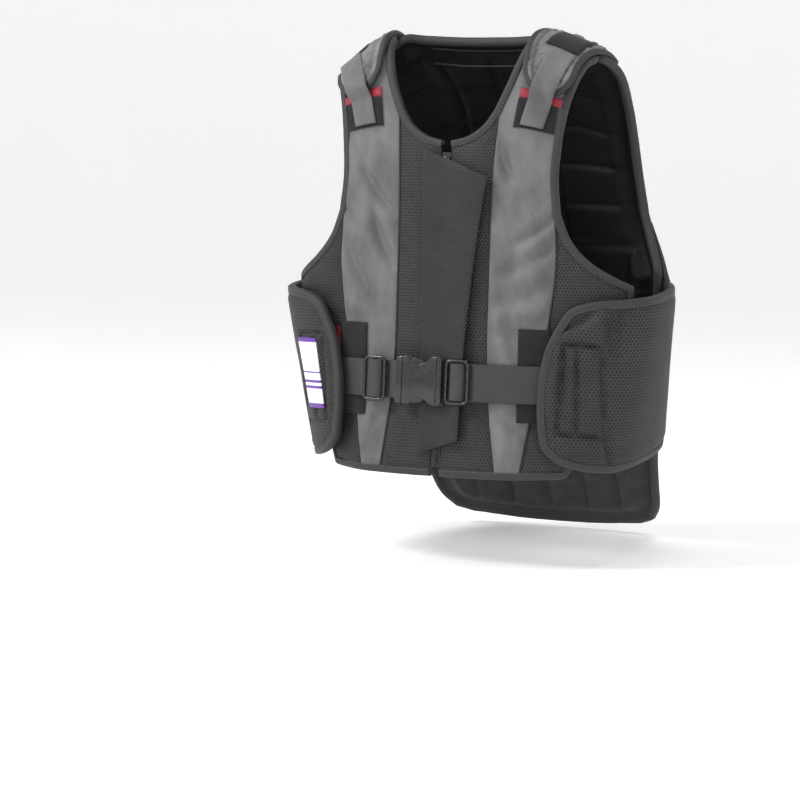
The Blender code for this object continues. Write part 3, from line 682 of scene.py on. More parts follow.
def back_grids():
    """Centre, left and right grey, left and right side grids of the back panel, and its seams."""
    inner = line(BACK_INNER_SEAM, "back", 20 * FINE)
    neck_half = line(BACK_NECK_CENTRE, "back", 3 * FINE)
    end_half = line(TAIL_END, "back", 3 * FINE)
    flip = np.array((-1, 1))
    neck = np.concatenate((neck_half * flip, neck_half[-2::-1]))
    end = np.concatenate((end_half * flip, end_half[-2::-1]))
    centre = fill(neck, end, inner * flip, inner)
    neck_side = line(BACK_NECK, "back", 2 * FINE)
    arm = line(BACK_ARM, "back", 8 * FINE)
    outer = line(BACK_OUTER_SEAM, "back", 8 * FINE)
    tail = line(TAIL_SIDE, "back", 6 * FINE)
    grey = fill(straight(neck_side[0], arm[0], 3 * FINE), straight(inner[-1], tail[-1], 3 * FINE),
                join(neck_side, inner), join(arm, outer, tail))
    under = line(BACK_UNDERARM, "back", 3 * FINE)
    edge = line(BACK_SIDE, "back", 8 * FINE)
    flank = fill(under, straight(outer[-1], edge[-1], 3 * FINE), outer, edge)
    turned = [grid[:, ::-1] * flip for grid in (grey, flank)]
    return (centre, grey, turned[0], flank, turned[1]), inner, outer


def block_layer(grids, columns, side):
    """How far each point lies inside a foam block, in metres."""
    layer = []
    for grid, parts in zip(grids, columns):
        down = grid[..., 1]
        up = np.abs(down / BLOCK_TALL - np.round(down / BLOCK_TALL)) * BLOCK_TALL
        column = np.arange(grid.shape[1]) / (grid.shape[1] - 1) * parts
        width = np.linalg.norm(grid[:, -1] - grid[:, 0], axis=-1)[:, None] / parts
        beside = np.abs(column - np.round(column))[None] * width
        if side == "back":
            share = down / FRONT_LENGTH
            up = up + 0.03 * ramp(share, 0.86, 0.93)
            upright = np.abs(grid[..., 0] / TAIL_CHANNEL - np.round(grid[..., 0] / TAIL_CHANNEL))
            in_tail = ramp(share, 0.88, 0.95)
            beside = beside * (1 - in_tail) + upright * TAIL_CHANNEL * in_tail
        layer.append(np.minimum(up, beside))
    return layer


def lining(points, reach, inside):
    """Height of the lining over the foam blocks, with a flat band round the edge."""
    depth = BLOCK_DEPTH - PAD_GROOVE * (1 - ramp(inside, 0.0, PAD_ROUND))
    depth = EDGE_DEPTH + (depth - EDGE_DEPTH) * ramp(reach, 0.008, NECK_BAND)
    return -depth + 0.0007 * uneven(points, 0.03, 2.2) * ramp(reach, 0.0, 0.01)


def kept(points):
    """Share of the front's puff and folds that is left under what is worn over the cloth."""
    out, down = np.abs(points[:, 0]) / HALF_CHEST, points[:, 1] / FRONT_LENGTH
    left = np.ones(len(points))
    for top, bottom, near, far, share in FLATTENED:
        inside = ramp(down, top - 0.03, top) * (1 - ramp(down, bottom, bottom + 0.03))
        inside = inside * ramp(out, near - 0.04, near) * (1 - ramp(out, far, far + 0.04))
        left = left * (1 - (1 - share) * inside)
    return left


def cover(puff, wave, side, folds=()):
    """Outer height of a puffed cover: low at its seams, with folds and soft unevenness."""
    def height(points, reach, _):
        rise = dome(reach / PUFF_REACH)
        soft = wave * (uneven(points, 0.04, 1.7) + 0.5 * uneven(points, 0.017, 5.1))
        creases = FOLD_DEPTH * pressed(side, points, folds) if folds else 0.0
        raised = rise * (puff + soft) + ramp(reach, 0.0, 0.008) * creases
        return 0.0008 + (raised * kept(points) if side == "front" else raised)
    return height


def level(height):
    """Height that is the same everywhere."""
    return lambda points, reach=None, layer=None: np.full(len(points), height)


def panels(looks):
    """Padding, covers, piping and edge tapes of the front and back."""
    high, low = level(SKIN + 0.0012), level(-EDGE_DEPTH - 0.0005)
    for sign, hand in ((1, "left"), (-1, "right")):
        grids, inner, outer = front_grids(sign)
        pad = body(f"front_pad_{hand}", "front", grids, level(0.0), lining, looks["lining"],
                   block_layer(grids, (1, 1, 1), "front"))
        for grid, part in zip(grids, ("centre", "grey", "side")):
            grey = part == "grey"
            height = cover(PUFF_GREY if grey else PUFF_MESH, 0.0009 if grey else 0.0004, "front",
                           FOLDS["front"] if grey else ())
            piece = body(f"front_{part}_cover_{hand}", "front", [grid], height, level(GAP),
                         looks["cloth" if grey else "mesh"])
        for course, part in ((inner, "inner"), (outer, "outer")):
            seam(f"front_{part}_piping_{hand}", "front", course, looks["piping"])
        loop = rim_loop(grids, grids[0][-1, 0], grids[0][0, 0])
        tape(f"front_tape_{hand}", "front", loop, False, low, high, looks["tape"], looks["thread"])
    grids, inner, outer = back_grids()
    pad = body("back_pad", "back", grids, level(0.0), lining, looks["lining"],
               block_layer(grids, (2, 1, 1, 1, 1), "back"))
    for grid, part in zip(grids, ("centre_cover", "grey_cover_left", "grey_cover_right")):
        grey = part != "centre_cover"
        height = cover(PUFF_GREY if grey else PUFF_MESH, 0.001 if grey else 0.0004, "back",
                       FOLDS["back"] if grey else ())
        piece = body(f"back_{part}", "back", [grid], height, level(GAP),
                     looks["cloth" if grey else "mesh"])
    for sign, hand in ((1, "left"), (-1, "right")):
        seam(f"back_inner_piping_{hand}", "back", inner * (sign, 1), looks["piping"])
        seam(f"back_outer_piping_{hand}", "back", outer * (sign, 1), looks["piping"])
    for k, in_by in enumerate(COLLAR_SEAMS):
        half = line(BACK_NECK_CENTRE, "back", 30) * (0.94, 1) + (0, in_by)
        band = np.concatenate((half * (-1, 1), half[-2::-1]))
        deep = EDGE_DEPTH + (BLOCK_DEPTH - EDGE_DEPTH) * ramp(in_by, 0.008, NECK_BAND)
        seam(f"back_collar_seam_{k + 1}", "back", band, looks["tape"], -deep, 0.0009)
    tape("back_tape", "back", rim_loop(grids), True, low, high, looks["tape"],
         looks["thread"])


def wing_heights(points):
    """Inner and outer heights of a side wing: flat where it is sewn to the back, raised in front."""
    share, down = np.abs(points[:, 0]) / HALF_CHEST, points[:, 1] / FRONT_LENGTH
    raised = 1 - ramp(share, *WING_RISE)
    inner = SKIN + 2 * LIFT + raised * (STRAP + 2 * PATCH + LIFT)
    low_down = ramp(down, *WING_SEATS) * (1 - ramp(down, *WING_HEM))
    inner = inner - (SKIN + 2 * LIFT - 2 * GAP) * ramp(share, *WING_LANDS) * low_down
    return inner, inner + COVER + (WING - COVER) * (1 - ramp(share, *WING_THINS))


def outline_of(edges, side, count, sign):
    """Closed course round a four-cornered patch between two outline tables."""
    left, right = (line(edge, side, count, sign) for edge in edges)
    return join(left, straight(left[-1], right[-1], count), right[::-1],
                straight(right[0], left[0], count))


def wings(looks):
    """Side wings with their stitched boxes, ribs and tapes."""
    for sign, hand in ((1, "left"), (-1, "right")):
        top = line(WING_TOP, "front", 5 * FINE, sign)
        front = line(WING_FRONT, "front", 8 * FINE, sign)
        end = line(WING_END, "front", 3 * FINE, sign)
        under, rear = (line(edge, "back", n * FINE) for edge, n in
                       ((WING_UNDERARM, 3), (WING_REAR, 8)))
        for edge in (under, rear):
            edge[:, 0] = sign * (between(GIRTHS, edge[:, 1] / CUT_STEP) - edge[:, 0])
        top = join(top, straight(top[-1], under[0], 3 * FINE), under)
        end = join(end, straight(end[-1], rear[-1], 8 * FINE))
        grid = fill(top, end, front, rear)
        box = outline_of(WING_BOX, "front", 40, sign)
        grooves = np.concatenate([box] + [line(way, "front", 60, sign) for way in WING_LINES])
        dents = [(sign * out, down, length, width, sign * turn, depth)
                 for out, down, length, width, turn, depth in WING_DENTS] if sign > 0 else []

        def height(points, reach, _):
            """Outer height of the wing."""
            high = wing_heights(points)[1] - 0.45 * WING * (1 - dome(reach / 0.012))
            groove = np.exp(-(reach_to(points, grooves) / GROOVE_WIDE) ** 2)
            soft = 0.0006 * uneven(points, 0.035, 3.3)
            return high - GROOVE_DEEP * groove + soft + pressed("front", points, dents)

        piece = body(f"side_wing_{hand}", "front", [grid], height,
                     lambda points, reach, _: wing_heights(points)[0], looks["mesh"])
        loop = rim_loop([grid], grid[0, -1], grid[-1, -1])
        tape(f"side_wing_tape_{hand}", "front", loop, False,
             lambda points: wing_heights(points)[0] + LIFT / 2,
             lambda points: wing_heights(points)[1] - 0.1 * WING, looks["tape"], looks["thread"], 0.0045)


def strip(name, edges, counts, low, high, look, sign=1):
    """Cloth on the front between two outline tables, with its heights as functions."""
    left, right = (line(edge, "front", counts[0], sign) for edge in edges)
    grid = fill(straight(left[0], right[0], counts[1]), straight(left[-1], right[-1], counts[1]),
                left, right)
    return body(name, "front", [grid], high, low, look), grid


def patch(name, edges, low, look, sign):
    """Thin patch at a height with its edge turned down."""
    high = lambda points, reach, _: low + PATCH * (0.35 + 0.65 * dome(reach / 0.0022))
    strip(name, edges, (36, 18), level(low - 0.0006), high, look, sign)


def shoulders(looks):
    """Quilted pads over the shoulders with their straps, patches and marks."""
    low = SKIN + LIFT
    pad_low = low + LIFT / 2
    high = pad_low + SHOULDER_PAD
    on_patch = low + PATCH + LIFT
    for sign, hand in ((1, "left"), (-1, "right")):
        def crumpled(points, reach, _):
            """Outer height of the quilted pad."""
            rise = 0.45 + 0.55 * dome(reach / 0.014)
            wrinkle = 0.0018 * uneven(points, 0.011, sign * 4.4) + 0.0012 * uneven(points, 0.005, 9.1)
            sunk = np.exp(-((reach - 0.0085) / 0.0018) ** 2)
            return pad_low + SHOULDER_PAD * rise + ramp(reach, 0.0, 0.006) * wrinkle - 0.0024 * sunk

        pad, grid = strip(f"shoulder_pad_{hand}", (SHOULDER_PAD_INNER, SHOULDER_PAD_OUTER), (90, 40),
                          level(pad_low), crumpled, looks["crinkle"], sign)
        tape(f"shoulder_pad_tape_{hand}", "front", rim_loop([grid]), True,
             level(pad_low + GAP), level(high - 0.25 * SHOULDER_PAD), looks["tape"],
             looks["thread"], 0.003, 0.0033)

        def strap_low(points):
            """Height of the strap's underside, down over the pad's end onto the loop patch."""
            fall = ramp(points[:, 1] / FRONT_LENGTH, *STRAP_DROP)
            return high + LIFT + (on_patch - high - LIFT) * fall

        strip(f"shoulder_strap_{hand}", SHOULDER_STRAP, (80, 20),
              lambda points, reach, _: strap_low(points) - 0.0004,
              lambda points, reach, _: strap_low(points) + STRAP * (0.5 + 0.5 * dome(reach / 0.003)),
              looks["strap"], sign)
        patch(f"shoulder_top_patch_{hand}", SHOULDER_TOP_PATCH, high + LIFT / 2, looks["loop"], sign)
        patch(f"shoulder_mark_{hand}", SHOULDER_MARK, low, looks["red"], sign)
        patch(f"shoulder_loop_{hand}", SHOULDER_LOOP, low, looks["loop"], sign)


def front_trim(looks):
    """Waist patches, marker, label, zip and the flap over it."""
    low = SKIN + LIFT
    patch("waist_loop_left", WAIST_LOOP, low, looks["loop"], 1)
    patch("waist_loop_right", WAIST_LOOP, low, looks["loop"], -1)
    patch("wing_mark_right", WING_MARK, low, looks["dark_red"], -1)
    on_wing = float(wing_heights(np.array([[HALF_CHEST, 0.8 * FRONT_LENGTH]]))[1][0])
    patch("label_right", LABEL, on_wing, looks["label"], -1)

    def flap(points, reach, _):
        """Outer height of the zip flap, which stands away along its free edge."""
        free = ramp(points[:, 0] / HALF_CHEST, 0.0, 0.16)
        curl = ramp(points[:, 1] / FRONT_LENGTH, 0.9, 0.96) * free
        rise = 0.5 + 0.5 * dome(reach / 0.004)
        soft = 0.0005 * uneven(points, 0.03, 6.6)
        return low + 0.0012 + PLACKET_THICK * rise + 0.0045 * free + 0.003 * curl + soft

    def flap_low(points, reach, _):
        """Inner height of the zip flap."""
        free = ramp(points[:, 0] / HALF_CHEST, 0.0, 0.16)
        return low + 0.004 * free + 0.0006

    piece, _ = strip("zip_flap", PLACKET, (130, 34), flap_low, flap, looks["mesh_fine"])
    half = (ZIP_HALF - GAP) / HALF_CHEST
    zip_line = [[(0.335, s), (0.985, s)] for s in (-half, half)]
    strip("front_zip", zip_line, (60, 2), level(-0.6 * EDGE_DEPTH), level(0.0), looks["tape"])
    pull = [[(0.342, 0.8 * s), (0.37, 0.8 * s)] for s in (-half, half)]
    strip("zip_slider", pull, (12, 6), level(GAP),
          lambda points, reach, _: GAP + COVER * (0.3 + 0.7 * dome(reach / 0.002)), looks["plastic"])
    teeth(looks["plastic"])


def teeth(look):
    """Zip teeth in one piece."""
    points, faces = [], []
    box = [(a, b, c) for a in (-1, 1) for b in (-1, 1) for c in (0, 1)]
    walls = ((0, 1, 3, 2), (4, 6, 7, 5), (0, 4, 5, 1), (2, 3, 7, 6), (0, 2, 6, 4), (1, 5, 7, 3))
    for k, down in enumerate(np.arange(0.374, 0.983, 0.0026 / FRONT_LENGTH) * FRONT_LENGTH):
        middle = 0.0007 * (1 if k % 2 else -1)
        across = np.array([middle + 0.0019 * a for a, _, _ in box])
        downs = np.array([down + 0.0009 * b for _, b, _ in box])
        heights = np.array([GAP + 0.0012 * c for _, _, c in box])
        start = len(points)
        points += list(spot("front", across, downs, heights))
        faces += [tuple(start + i for i in wall) for wall in walls]
    link("zip_teeth", points, faces, look)


def webbing(name, way, look):
    """Strap of webbing along a way of (out, height), with rounded edges."""
    way = np.array(way) * WEBBING_HEIGHT
    gaps = np.hypot(*np.diff(way, axis=0).T)
    along = running(gaps)
    at = np.linspace(0, along[-1], int(along[-1] / 0.0012))
    out, low = (smooth(along, way[:, c], at) for c in range(2))
    middle, half = WAIST_DOWN * FRONT_LENGTH, WEBBING_HEIGHT / 2
    across = across_at("front", out, np.full(len(out), middle))
    shares = (-1.0, -0.97, -0.5, 0.0, 0.5, 0.97, 1.0)
    rises = (0.5, 0.95, 1.0, 1.0, 1.0, 0.95, 0.5)
    ring = [(s, r) for s, r in zip(shares, rises)] + [(s, 1 - r) for s, r in
                                                      zip(shares[-2:0:-1], rises[-2:0:-1])]
    rings = np.stack([spot("front", across, np.full(len(out), middle + s * half), low + r * STRAP)
                      for s, r in ring], axis=1)
    sweep(name, rings, False, look, (name,))


def rounded(width, height, radius, count=64):
    """Closed rounded rectangle about the origin, evenly divided."""
    turn = around(count) + math.pi / count
    x, y = np.cos(turn), np.sin(turn)
    corner = np.stack((np.sign(x) * (width / 2 - radius), np.sign(y) * (height / 2 - radius)), -1)
    return corner + radius * np.stack((x, y), -1)


def even(path, count):
    """Closed path divided evenly."""
    closed = np.concatenate((path, path[:1]))
    along = running(np.linalg.norm(np.diff(closed, axis=0), axis=-1))
    at = np.linspace(0, along[-1], count, endpoint=False)
    return np.stack([np.interp(at, along, closed[:, c]) for c in range(closed.shape[1])], -1)


def slider(name, ends, look):
    """Glossy frame with a middle bar that the webbing threads through."""
    low, high = (h * WEBBING_HEIGHT for h in SLIDER_HEIGHTS)
    left, right = (e * WEBBING_HEIGHT for e in ends)
    middle = WAIST_DOWN * FRONT_LENGTH
    bar = SLIDER_BAR * WEBBING_HEIGHT
    path = even(rounded(right - left - bar, SLIDER_TALL * WEBBING_HEIGHT - bar, 0.0048), 96)
    outs, downs = path[:, 0] + (left + right) / 2, path[:, 1] + middle
    across = across_at("front", outs, downs)
    height = np.full(len(outs), (low + high) / 2)
    tube(name, spot("front", across, downs, height), 0.62 * bar, look,
         normal("front", across, downs), 1.05, True, 12, (name,))
    reach = np.linspace(-0.5, 0.5, 24) * (SLIDER_TALL * WEBBING_HEIGHT - 1.5 * bar)
    outs = np.full(24, (left + right) / 2)
    across = across_at("front", outs, middle + reach)
    tube(f"{name}_bar", spot("front", across, middle + reach, np.full(24, (low + high) / 2 - 0.001)),
         0.45 * bar, look, normal("front", across, middle + reach))


def waist_frame():
    """Base point, along, up and out directions in front of the waist."""
    down = np.array(WAIST_DOWN * FRONT_LENGTH)
    out = normal("front", np.array(0.0), down)
    along = np.array((1.0, 0.0, 0.0))
    return on_form("front", 0.0, down), along, np.cross(out, along), out


def moulded(name, outline, heights, look, edge=0.02, nodes=(), crown=0.0, strips=True):
    """Moulded piece in front of the waist from an outline of (along, up), with rounded edges."""
    base, along, up, out = waist_frame()
    outline = np.asarray(outline, float)
    ahead, behind = (np.roll(outline, s, axis=0) for s in (-1, 1))
    way = unit(unit(ahead - outline) + unit(outline - behind))
    inward = hand_of(outline) * np.stack((-way[:, 1], way[:, 0]), -1)
    low, high = heights
    layers = ((1.0, low), (0.3, low + 0.3 * edge), (0.0, low + edge), (0.0, high - edge),
              (0.3, high - 0.3 * edge), (1.0, high))
    spots, faces = [], []
    count = len(outline)
    for share, height in layers:
        spots += [(u, v, height) for u, v in outline + inward * edge * share]
    for start in range(0, (len(layers) - 1) * count, count):
        faces += [(start + i, start + (i + 1) % count, start + (i + 1) % count + count,
                   start + i + count) for i in range(count)]
    last = len(spots) - count
    if strips:
        middle = len(spots)
        spots += [(spots[last + i][0], 0.0, high + crown) for i in range(count // 2)]
        for i in range(count // 2 - 1):
            faces.append((i, count - 1 - i, count - 2 - i, i + 1))
            faces.append((last + i, last + i + 1, middle + i + 1, middle + i))
            faces.append((middle + i, middle + i + 1, last + count - 2 - i, last + count - 1 - i))
        for i in (0, count // 2 - 1):
            faces.append((last + i, middle + i, last + count - 1 - i))
    else:
        faces += [tuple(range(count)), tuple(range(last, last + count))]
    points = [base + WEBBING_HEIGHT * (u * along + v * up + h * out) for u, v, h in spots]
    link(name, points, faces, look, None, nodes, 40)


def curve_through(table, count):
    """Smooth plane curve through points, evenly divided."""
    points = np.array(table, float)
    gaps = np.linalg.norm(np.diff(points, axis=0), axis=-1)
    along = running(gaps)
    at = np.linspace(0, along[-1], count)
    return np.stack([smooth(along, points[:, c], at) for c in range(2)], -1)


def mirrored(half):
    """Whole outline from its upper half."""
    half = np.asarray(half, float)
    return np.concatenate((half, half[::-1] * (1, -1)))


def waist(looks):
    """Straps, sliders and the two halves of the side-release buckle."""
    webbing("waist_strap_right", WEB_RIGHT, looks["webbing"])
    webbing("waist_strap_left", WEB_LEFT, looks["webbing"])
    for hand, ends in SLIDERS.items():
        slider(f"strap_slider_{hand}", ends, looks["plastic"])
    plastic = looks["plastic"]
    low, high = SOCKET_HEIGHTS
    shell = mirrored(curve_through(SOCKET, 60))
    wall = (high - POCKET_HEIGHTS[1])
    moulded("buckle_socket", shell, (high - wall, high), plastic, 0.022, ("buckle_socket",), 0.02)
    moulded("buckle_socket_back", shell, (low, low + wall), plastic, 0.022)
    ladder = mirrored(((0.075, 0.6), (0.11, 0.6)))
    moulded("buckle_ladder", ladder, (high - 0.01, high + 0.035), plastic, 0.012)
    core = mirrored(((-0.1, 0.36), (-0.08, 0.5), (0.07, 0.56), (0.09, 0.3)))
    moulded("buckle_socket_core", core, (low + 0.02, high - 0.02), plastic, 0.01)
    prong = curve_through(PLUG_PRONG[:7], 40)
    inside = curve_through(PLUG_PRONG[6:], 12)[1:]
    for sign, hand in ((1, "upper"), (-1, "lower")):
        arm = np.concatenate((prong, inside)) * (1, sign)
        moulded(f"buckle_prong_{hand}", arm, (PLUG_HEIGHTS[0] - 0.01, PLUG_HEIGHTS[1] + 0.03),
                plastic, 0.018, strips=False)
    base = mirrored(PLUG_BASE)
    moulded("buckle_plug", base, (PLUG_HEIGHTS[0] - 0.02, PLUG_HEIGHTS[1] + 0.05), plastic, 0.02,
            ("buckle_plug",), 0.01)
    tongue = mirrored(PLUG_TONGUE)
    moulded("buckle_tongue", tongue, PLUG_HEIGHTS, plastic, 0.015)


def shader(name, colour, rough, **more):
    """New material with its Principled shader set."""
    made = bpy.data.materials.new(name)
    made.use_nodes = True
    tree = made.node_tree
    main = tree.nodes["Principled BSDF"]
    main.inputs["Base Color"].default_value = (*colour, 1)
    main.inputs["Roughness"].default_value = rough
    for key, value in more.items():
        main.inputs[key.replace("_", " ")].default_value = value
    return made, tree, main


def node(tree, kind, *inputs, **settings):
    """Add a node and return its first output; inputs are numbers, vectors or sockets, in order."""
    made = tree.nodes.new("ShaderNode" + kind)
    for key, value in settings.items():
        setattr(made, key, value)
    for socket, value in zip(made.inputs, inputs):
        if isinstance(value, bpy.types.NodeSocket):
            tree.links.new(value, socket)
        elif value is not None:
            socket.default_value = value
    return made.outputs[0]


def flat_place(tree, scale=(1, 1, 1), turn=0.0):
    """Pattern place on the cloth in metres, scaled and turned."""
    place = tree.nodes.new("ShaderNodeTexCoord").outputs["UV"]
    return node(tree, "Mapping", place, (0, 0, 0), (0, 0, turn), scale)


def split(tree, place):
    """The three parts of a place."""
    made = tree.nodes.new("ShaderNodeSeparateXYZ")
    tree.links.new(place, made.inputs[0])
    return made.outputs


def grain(tree, place, size, detail=3.0):
    """Noise of a size in metres at a place."""
    made = tree.nodes.new("ShaderNodeTexNoise")
    made.inputs["Scale"].default_value = 1 / size
    made.inputs["Detail"].default_value = detail
    tree.links.new(place, made.inputs["Vector"])
    return made.outputs["Fac"]


def tones(tree, main, share, stops, socket="Base Color", constant=False):
    """Colours along a share, into a shader's socket."""
    made = tree.nodes.new("ShaderNodeValToRGB")
    made.color_ramp.interpolation = "CONSTANT" if constant else "LINEAR"
    marks = made.color_ramp.elements
    while len(marks) < len(stops):
        marks.new(0.5)
    for mark, (at, colour) in zip(marks, stops):
        mark.position = at
        mark.color = (*colour, 1)
    tree.links.new(share, made.inputs[0])
    if main is not None:
        tree.links.new(made.outputs[0], main.inputs[socket])
    return made.outputs[0]


def bump(tree, main, height, strength, distance):
    """Relief from a height."""
    made = tree.nodes.new("ShaderNodeBump")
    made.inputs["Strength"].default_value = strength
    made.inputs["Distance"].default_value = distance
    tree.links.new(height, made.inputs["Height"])
    tree.links.new(made.outputs[0], main.inputs["Normal"])


def times(tree, a, b):
    """Product of two values."""
    return node(tree, "Math", a, b, operation="MULTIPLY")


def plus(tree, a, b):
    """Sum of two values."""
    return node(tree, "Math", a, b, operation="ADD")


def threads(tree, pitch):
    """Plain weave of threads as a height from 0 to 1."""
    parts = split(tree, flat_place(tree, (math.pi / pitch, math.pi / pitch, 1)))
    waves = [node(tree, "Math", parts[k], 0.0, operation="SINE") for k in range(2)]
    return node(tree, "Math", times(tree, waves[0], waves[1]), 0.0, operation="ABSOLUTE")


def shade(colour, factor):
    """Colour made lighter or darker."""
    return tuple(min(1.0, c * factor) for c in colour)


def woven(name, colour, pitch=0.0009, contrast=0.35, crinkle=0.0):
    """Woven cloth with slubs, broad patches of painted fold shade and light, and a fine thread relief.
    """
    made, tree, main = shader(name, colour, 0.72, Sheen_Weight=0.06, Sheen_Roughness=0.4)
    weave = threads(tree, pitch)
    slub = grain(tree, flat_place(tree, (1, 3.5, 1)), 0.004)
    # Painted shade and light: broad stretched patches that stand for the dark and light sides of folds
    soft = grain(tree, flat_place(tree, (2.2, 1, 1), 0.5), 0.06, 3.0)
    soft = node(tree, "MapRange", soft, 0.32, 0.68, 0.0, 0.45)
    mix = plus(tree, times(tree, weave, 0.25), plus(tree, times(tree, slub, 0.45), soft))
    tones(tree, main, mix, ((0.25, shade(colour, 1 - contrast)), (0.75, shade(colour, 1 + contrast))))
    relief = weave
    if crinkle:
        relief = plus(tree, times(tree, weave, 0.3), times(tree, grain(tree, flat_place(tree),
                                                                         0.004, 4.0), crinkle))
    bump(tree, main, relief, 0.35, 0.0004 if not crinkle else 0.0012)
    return made


def honeycomb(name, yarn, hole_shade, pitch=MESH_PITCH, size=0.42):
    """Knitted spacer mesh with rows of holes painted near black as the shade inside them, and yarn with
    painted highlights.
    """
    made, tree, main = shader(name, yarn, 0.62, Sheen_Weight=0.03, Sheen_Roughness=0.35)
    place = flat_place(tree, (1 / pitch, 1 / (pitch * math.sqrt(3)), 1))
    lengths = []
    for shift in (0.0, 0.5):
        cell = node(tree, "VectorMath", place, (shift, shift, 0), operation="ADD")
        cell = node(tree, "VectorMath", cell, operation="FRACTION")
        cell = node(tree, "VectorMath", cell, (0.5, 0.5, 0), operation="SUBTRACT")
        cell = node(tree, "VectorMath", cell, (1, math.sqrt(3), 0), operation="MULTIPLY")
        made_length = tree.nodes.new("ShaderNodeVectorMath")
        made_length.operation = "LENGTH"
        tree.links.new(cell, made_length.inputs[0])
        lengths.append(made_length.outputs["Value"])
    nearest = node(tree, "Math", lengths[0], lengths[1], operation="MINIMUM")
    mask = node(tree, "MapRange", nearest, size - 0.04, size + 0.05, 0.0, 1.0)
    # Painted highlights: noise that lifts the yarn from below its colour to three times it, as glints of
    # light
    yarn_glint = plus(tree, times(tree, grain(tree, flat_place(tree), 0.0012), 0.6),
                times(tree, grain(tree, flat_place(tree), 0.03, 2.0), 0.5))
    mix = times(tree, mask, yarn_glint)
    # The hole colour is painted shade; the brightest yarn tone is a painted highlight
    tones(tree, main, mix, ((0.05, hole_shade), (0.3, shade(yarn, 0.7)), (0.8, shade(yarn, 3.0))))
    bump(tree, main, mask, 1.0, 0.0016)
    return made


def ribbed(name, colour, pitch, rough=0.6, across=True, depth=0.0003):
    """Ribbed tape or webbing; the ribs cross it or run along it."""
    made, tree, main = shader(name, colour, rough, Sheen_Weight=0.05, Sheen_Roughness=0.4)
    parts = split(tree, flat_place(tree, (math.pi / pitch, math.pi / pitch, 1)))
    wave = node(tree, "Math", parts[0 if across else 1], 0.0, operation="SINE")
    rib = node(tree, "Math", wave, 0.0, operation="ABSOLUTE")
    fuzz = grain(tree, flat_place(tree), 0.0016)
    soft = grain(tree, flat_place(tree), 0.03, 2.0)
    mix = plus(tree, times(tree, rib, 0.35), plus(tree, times(tree, fuzz, 0.4), times(tree, soft, 0.3)))
    tones(tree, main, mix, ((0.2, shade(colour, 0.6)), (0.9, shade(colour, 1.5))))
    bump(tree, main, plus(tree, rib, times(tree, fuzz, 0.5)), 0.5, depth)
    return made


def pile(name, colour):
    """Looped or hooked fastening pile."""
    made, tree, main = shader(name, colour, 0.9, Sheen_Weight=0.08, Sheen_Roughness=0.5)
    fuzz = grain(tree, flat_place(tree), 0.0011, 4.0)
    soft = grain(tree, flat_place(tree), 0.01, 2.0)
    mix = plus(tree, times(tree, fuzz, 0.75), times(tree, soft, 0.25))
    tones(tree, main, mix, ((0.35, shade(colour, 0.3)), (0.65, shade(colour, 2.6))))
    bump(tree, main, fuzz, 0.9, 0.001)
    return made


def slick(name, colour):
    """Smooth lining cloth, near black as painted shade inside the vest, with faint creases painted
    darker and lighter, and painted light making it paler in the tail.
    """
    made, tree, main = shader(name, colour, 0.6, Specular_IOR_Level=0.16)
    # The crease noise also paints darker and lighter tones along the creases, as painted shade and light
    crease = grain(tree, flat_place(tree, (1, 1.8, 1)), 0.022, 4.0)
    weave = threads(tree, 0.0008)
    # Painted light: from here down the lining's colour goes over to the paler, lit tail colour
    start, end = (share * FRONT_LENGTH for share in TAIL_LIGHT_FADES)
    low = node(tree, "MapRange", split(tree, flat_place(tree))[1], start, end, 0.0, 0.6)
    mix = plus(tree, times(tree, crease, 0.4), low)
    tones(tree, main, mix, ((0.1, shade(colour, 0.7)), (0.3, shade(colour, 1.4)),
                            (0.65, shade(LIT_TAIL_LINING, 0.7)), (0.9, shade(LIT_TAIL_LINING, 1.3))))
    bump(tree, main, plus(tree, crease, times(tree, weave, 0.05)), 0.25, 0.0016)
    return made


def plastic(name, colour):
    """Glossy moulded plastic with faint scuffs."""
    made, tree, main = shader(name, colour, 0.22, Coat_Weight=0.3, Coat_Roughness=0.12)
    place = tree.nodes.new("ShaderNodeTexCoord").outputs["Object"]
    scuff = grain(tree, place, 0.004, 4.0)
    tones(tree, main, scuff, ((0.3, (0.16,) * 3), (0.75, (0.34,) * 3)), "Roughness")
    tones(tree, main, grain(tree, place, 0.02), ((0.3, shade(colour, 0.8)), (0.7, shade(colour, 1.3))))
    bump(tree, main, scuff, 0.03, 0.0003)
    return made


def label(name, white, print_colour):
    """Plain white label with bands at its ends and plain bars between."""
    made, tree, main = shader(name, white, 0.45)
    grid = line(LABEL[0], "front", 1, -1), line(LABEL[1], "front", 1, -1)
    top, bottom = grid[0][0][1], grid[0][1][1]
    place = tree.nodes.new("ShaderNodeTexCoord").outputs["UV"]
    share = node(tree, "MapRange", split(tree, place)[1], top, bottom, 0.0, 1.0)
    stops = [(0.0, print_colour), (0.055, white), (0.48, print_colour), (0.5, white),
             (0.6, print_colour), (0.64, white), (0.68, print_colour), (0.72, white),
             (0.93, print_colour)]
    tones(tree, main, share, stops, constant=True)
    bump(tree, main, grain(tree, place, 0.002), 0.1, 0.0002)
    return made


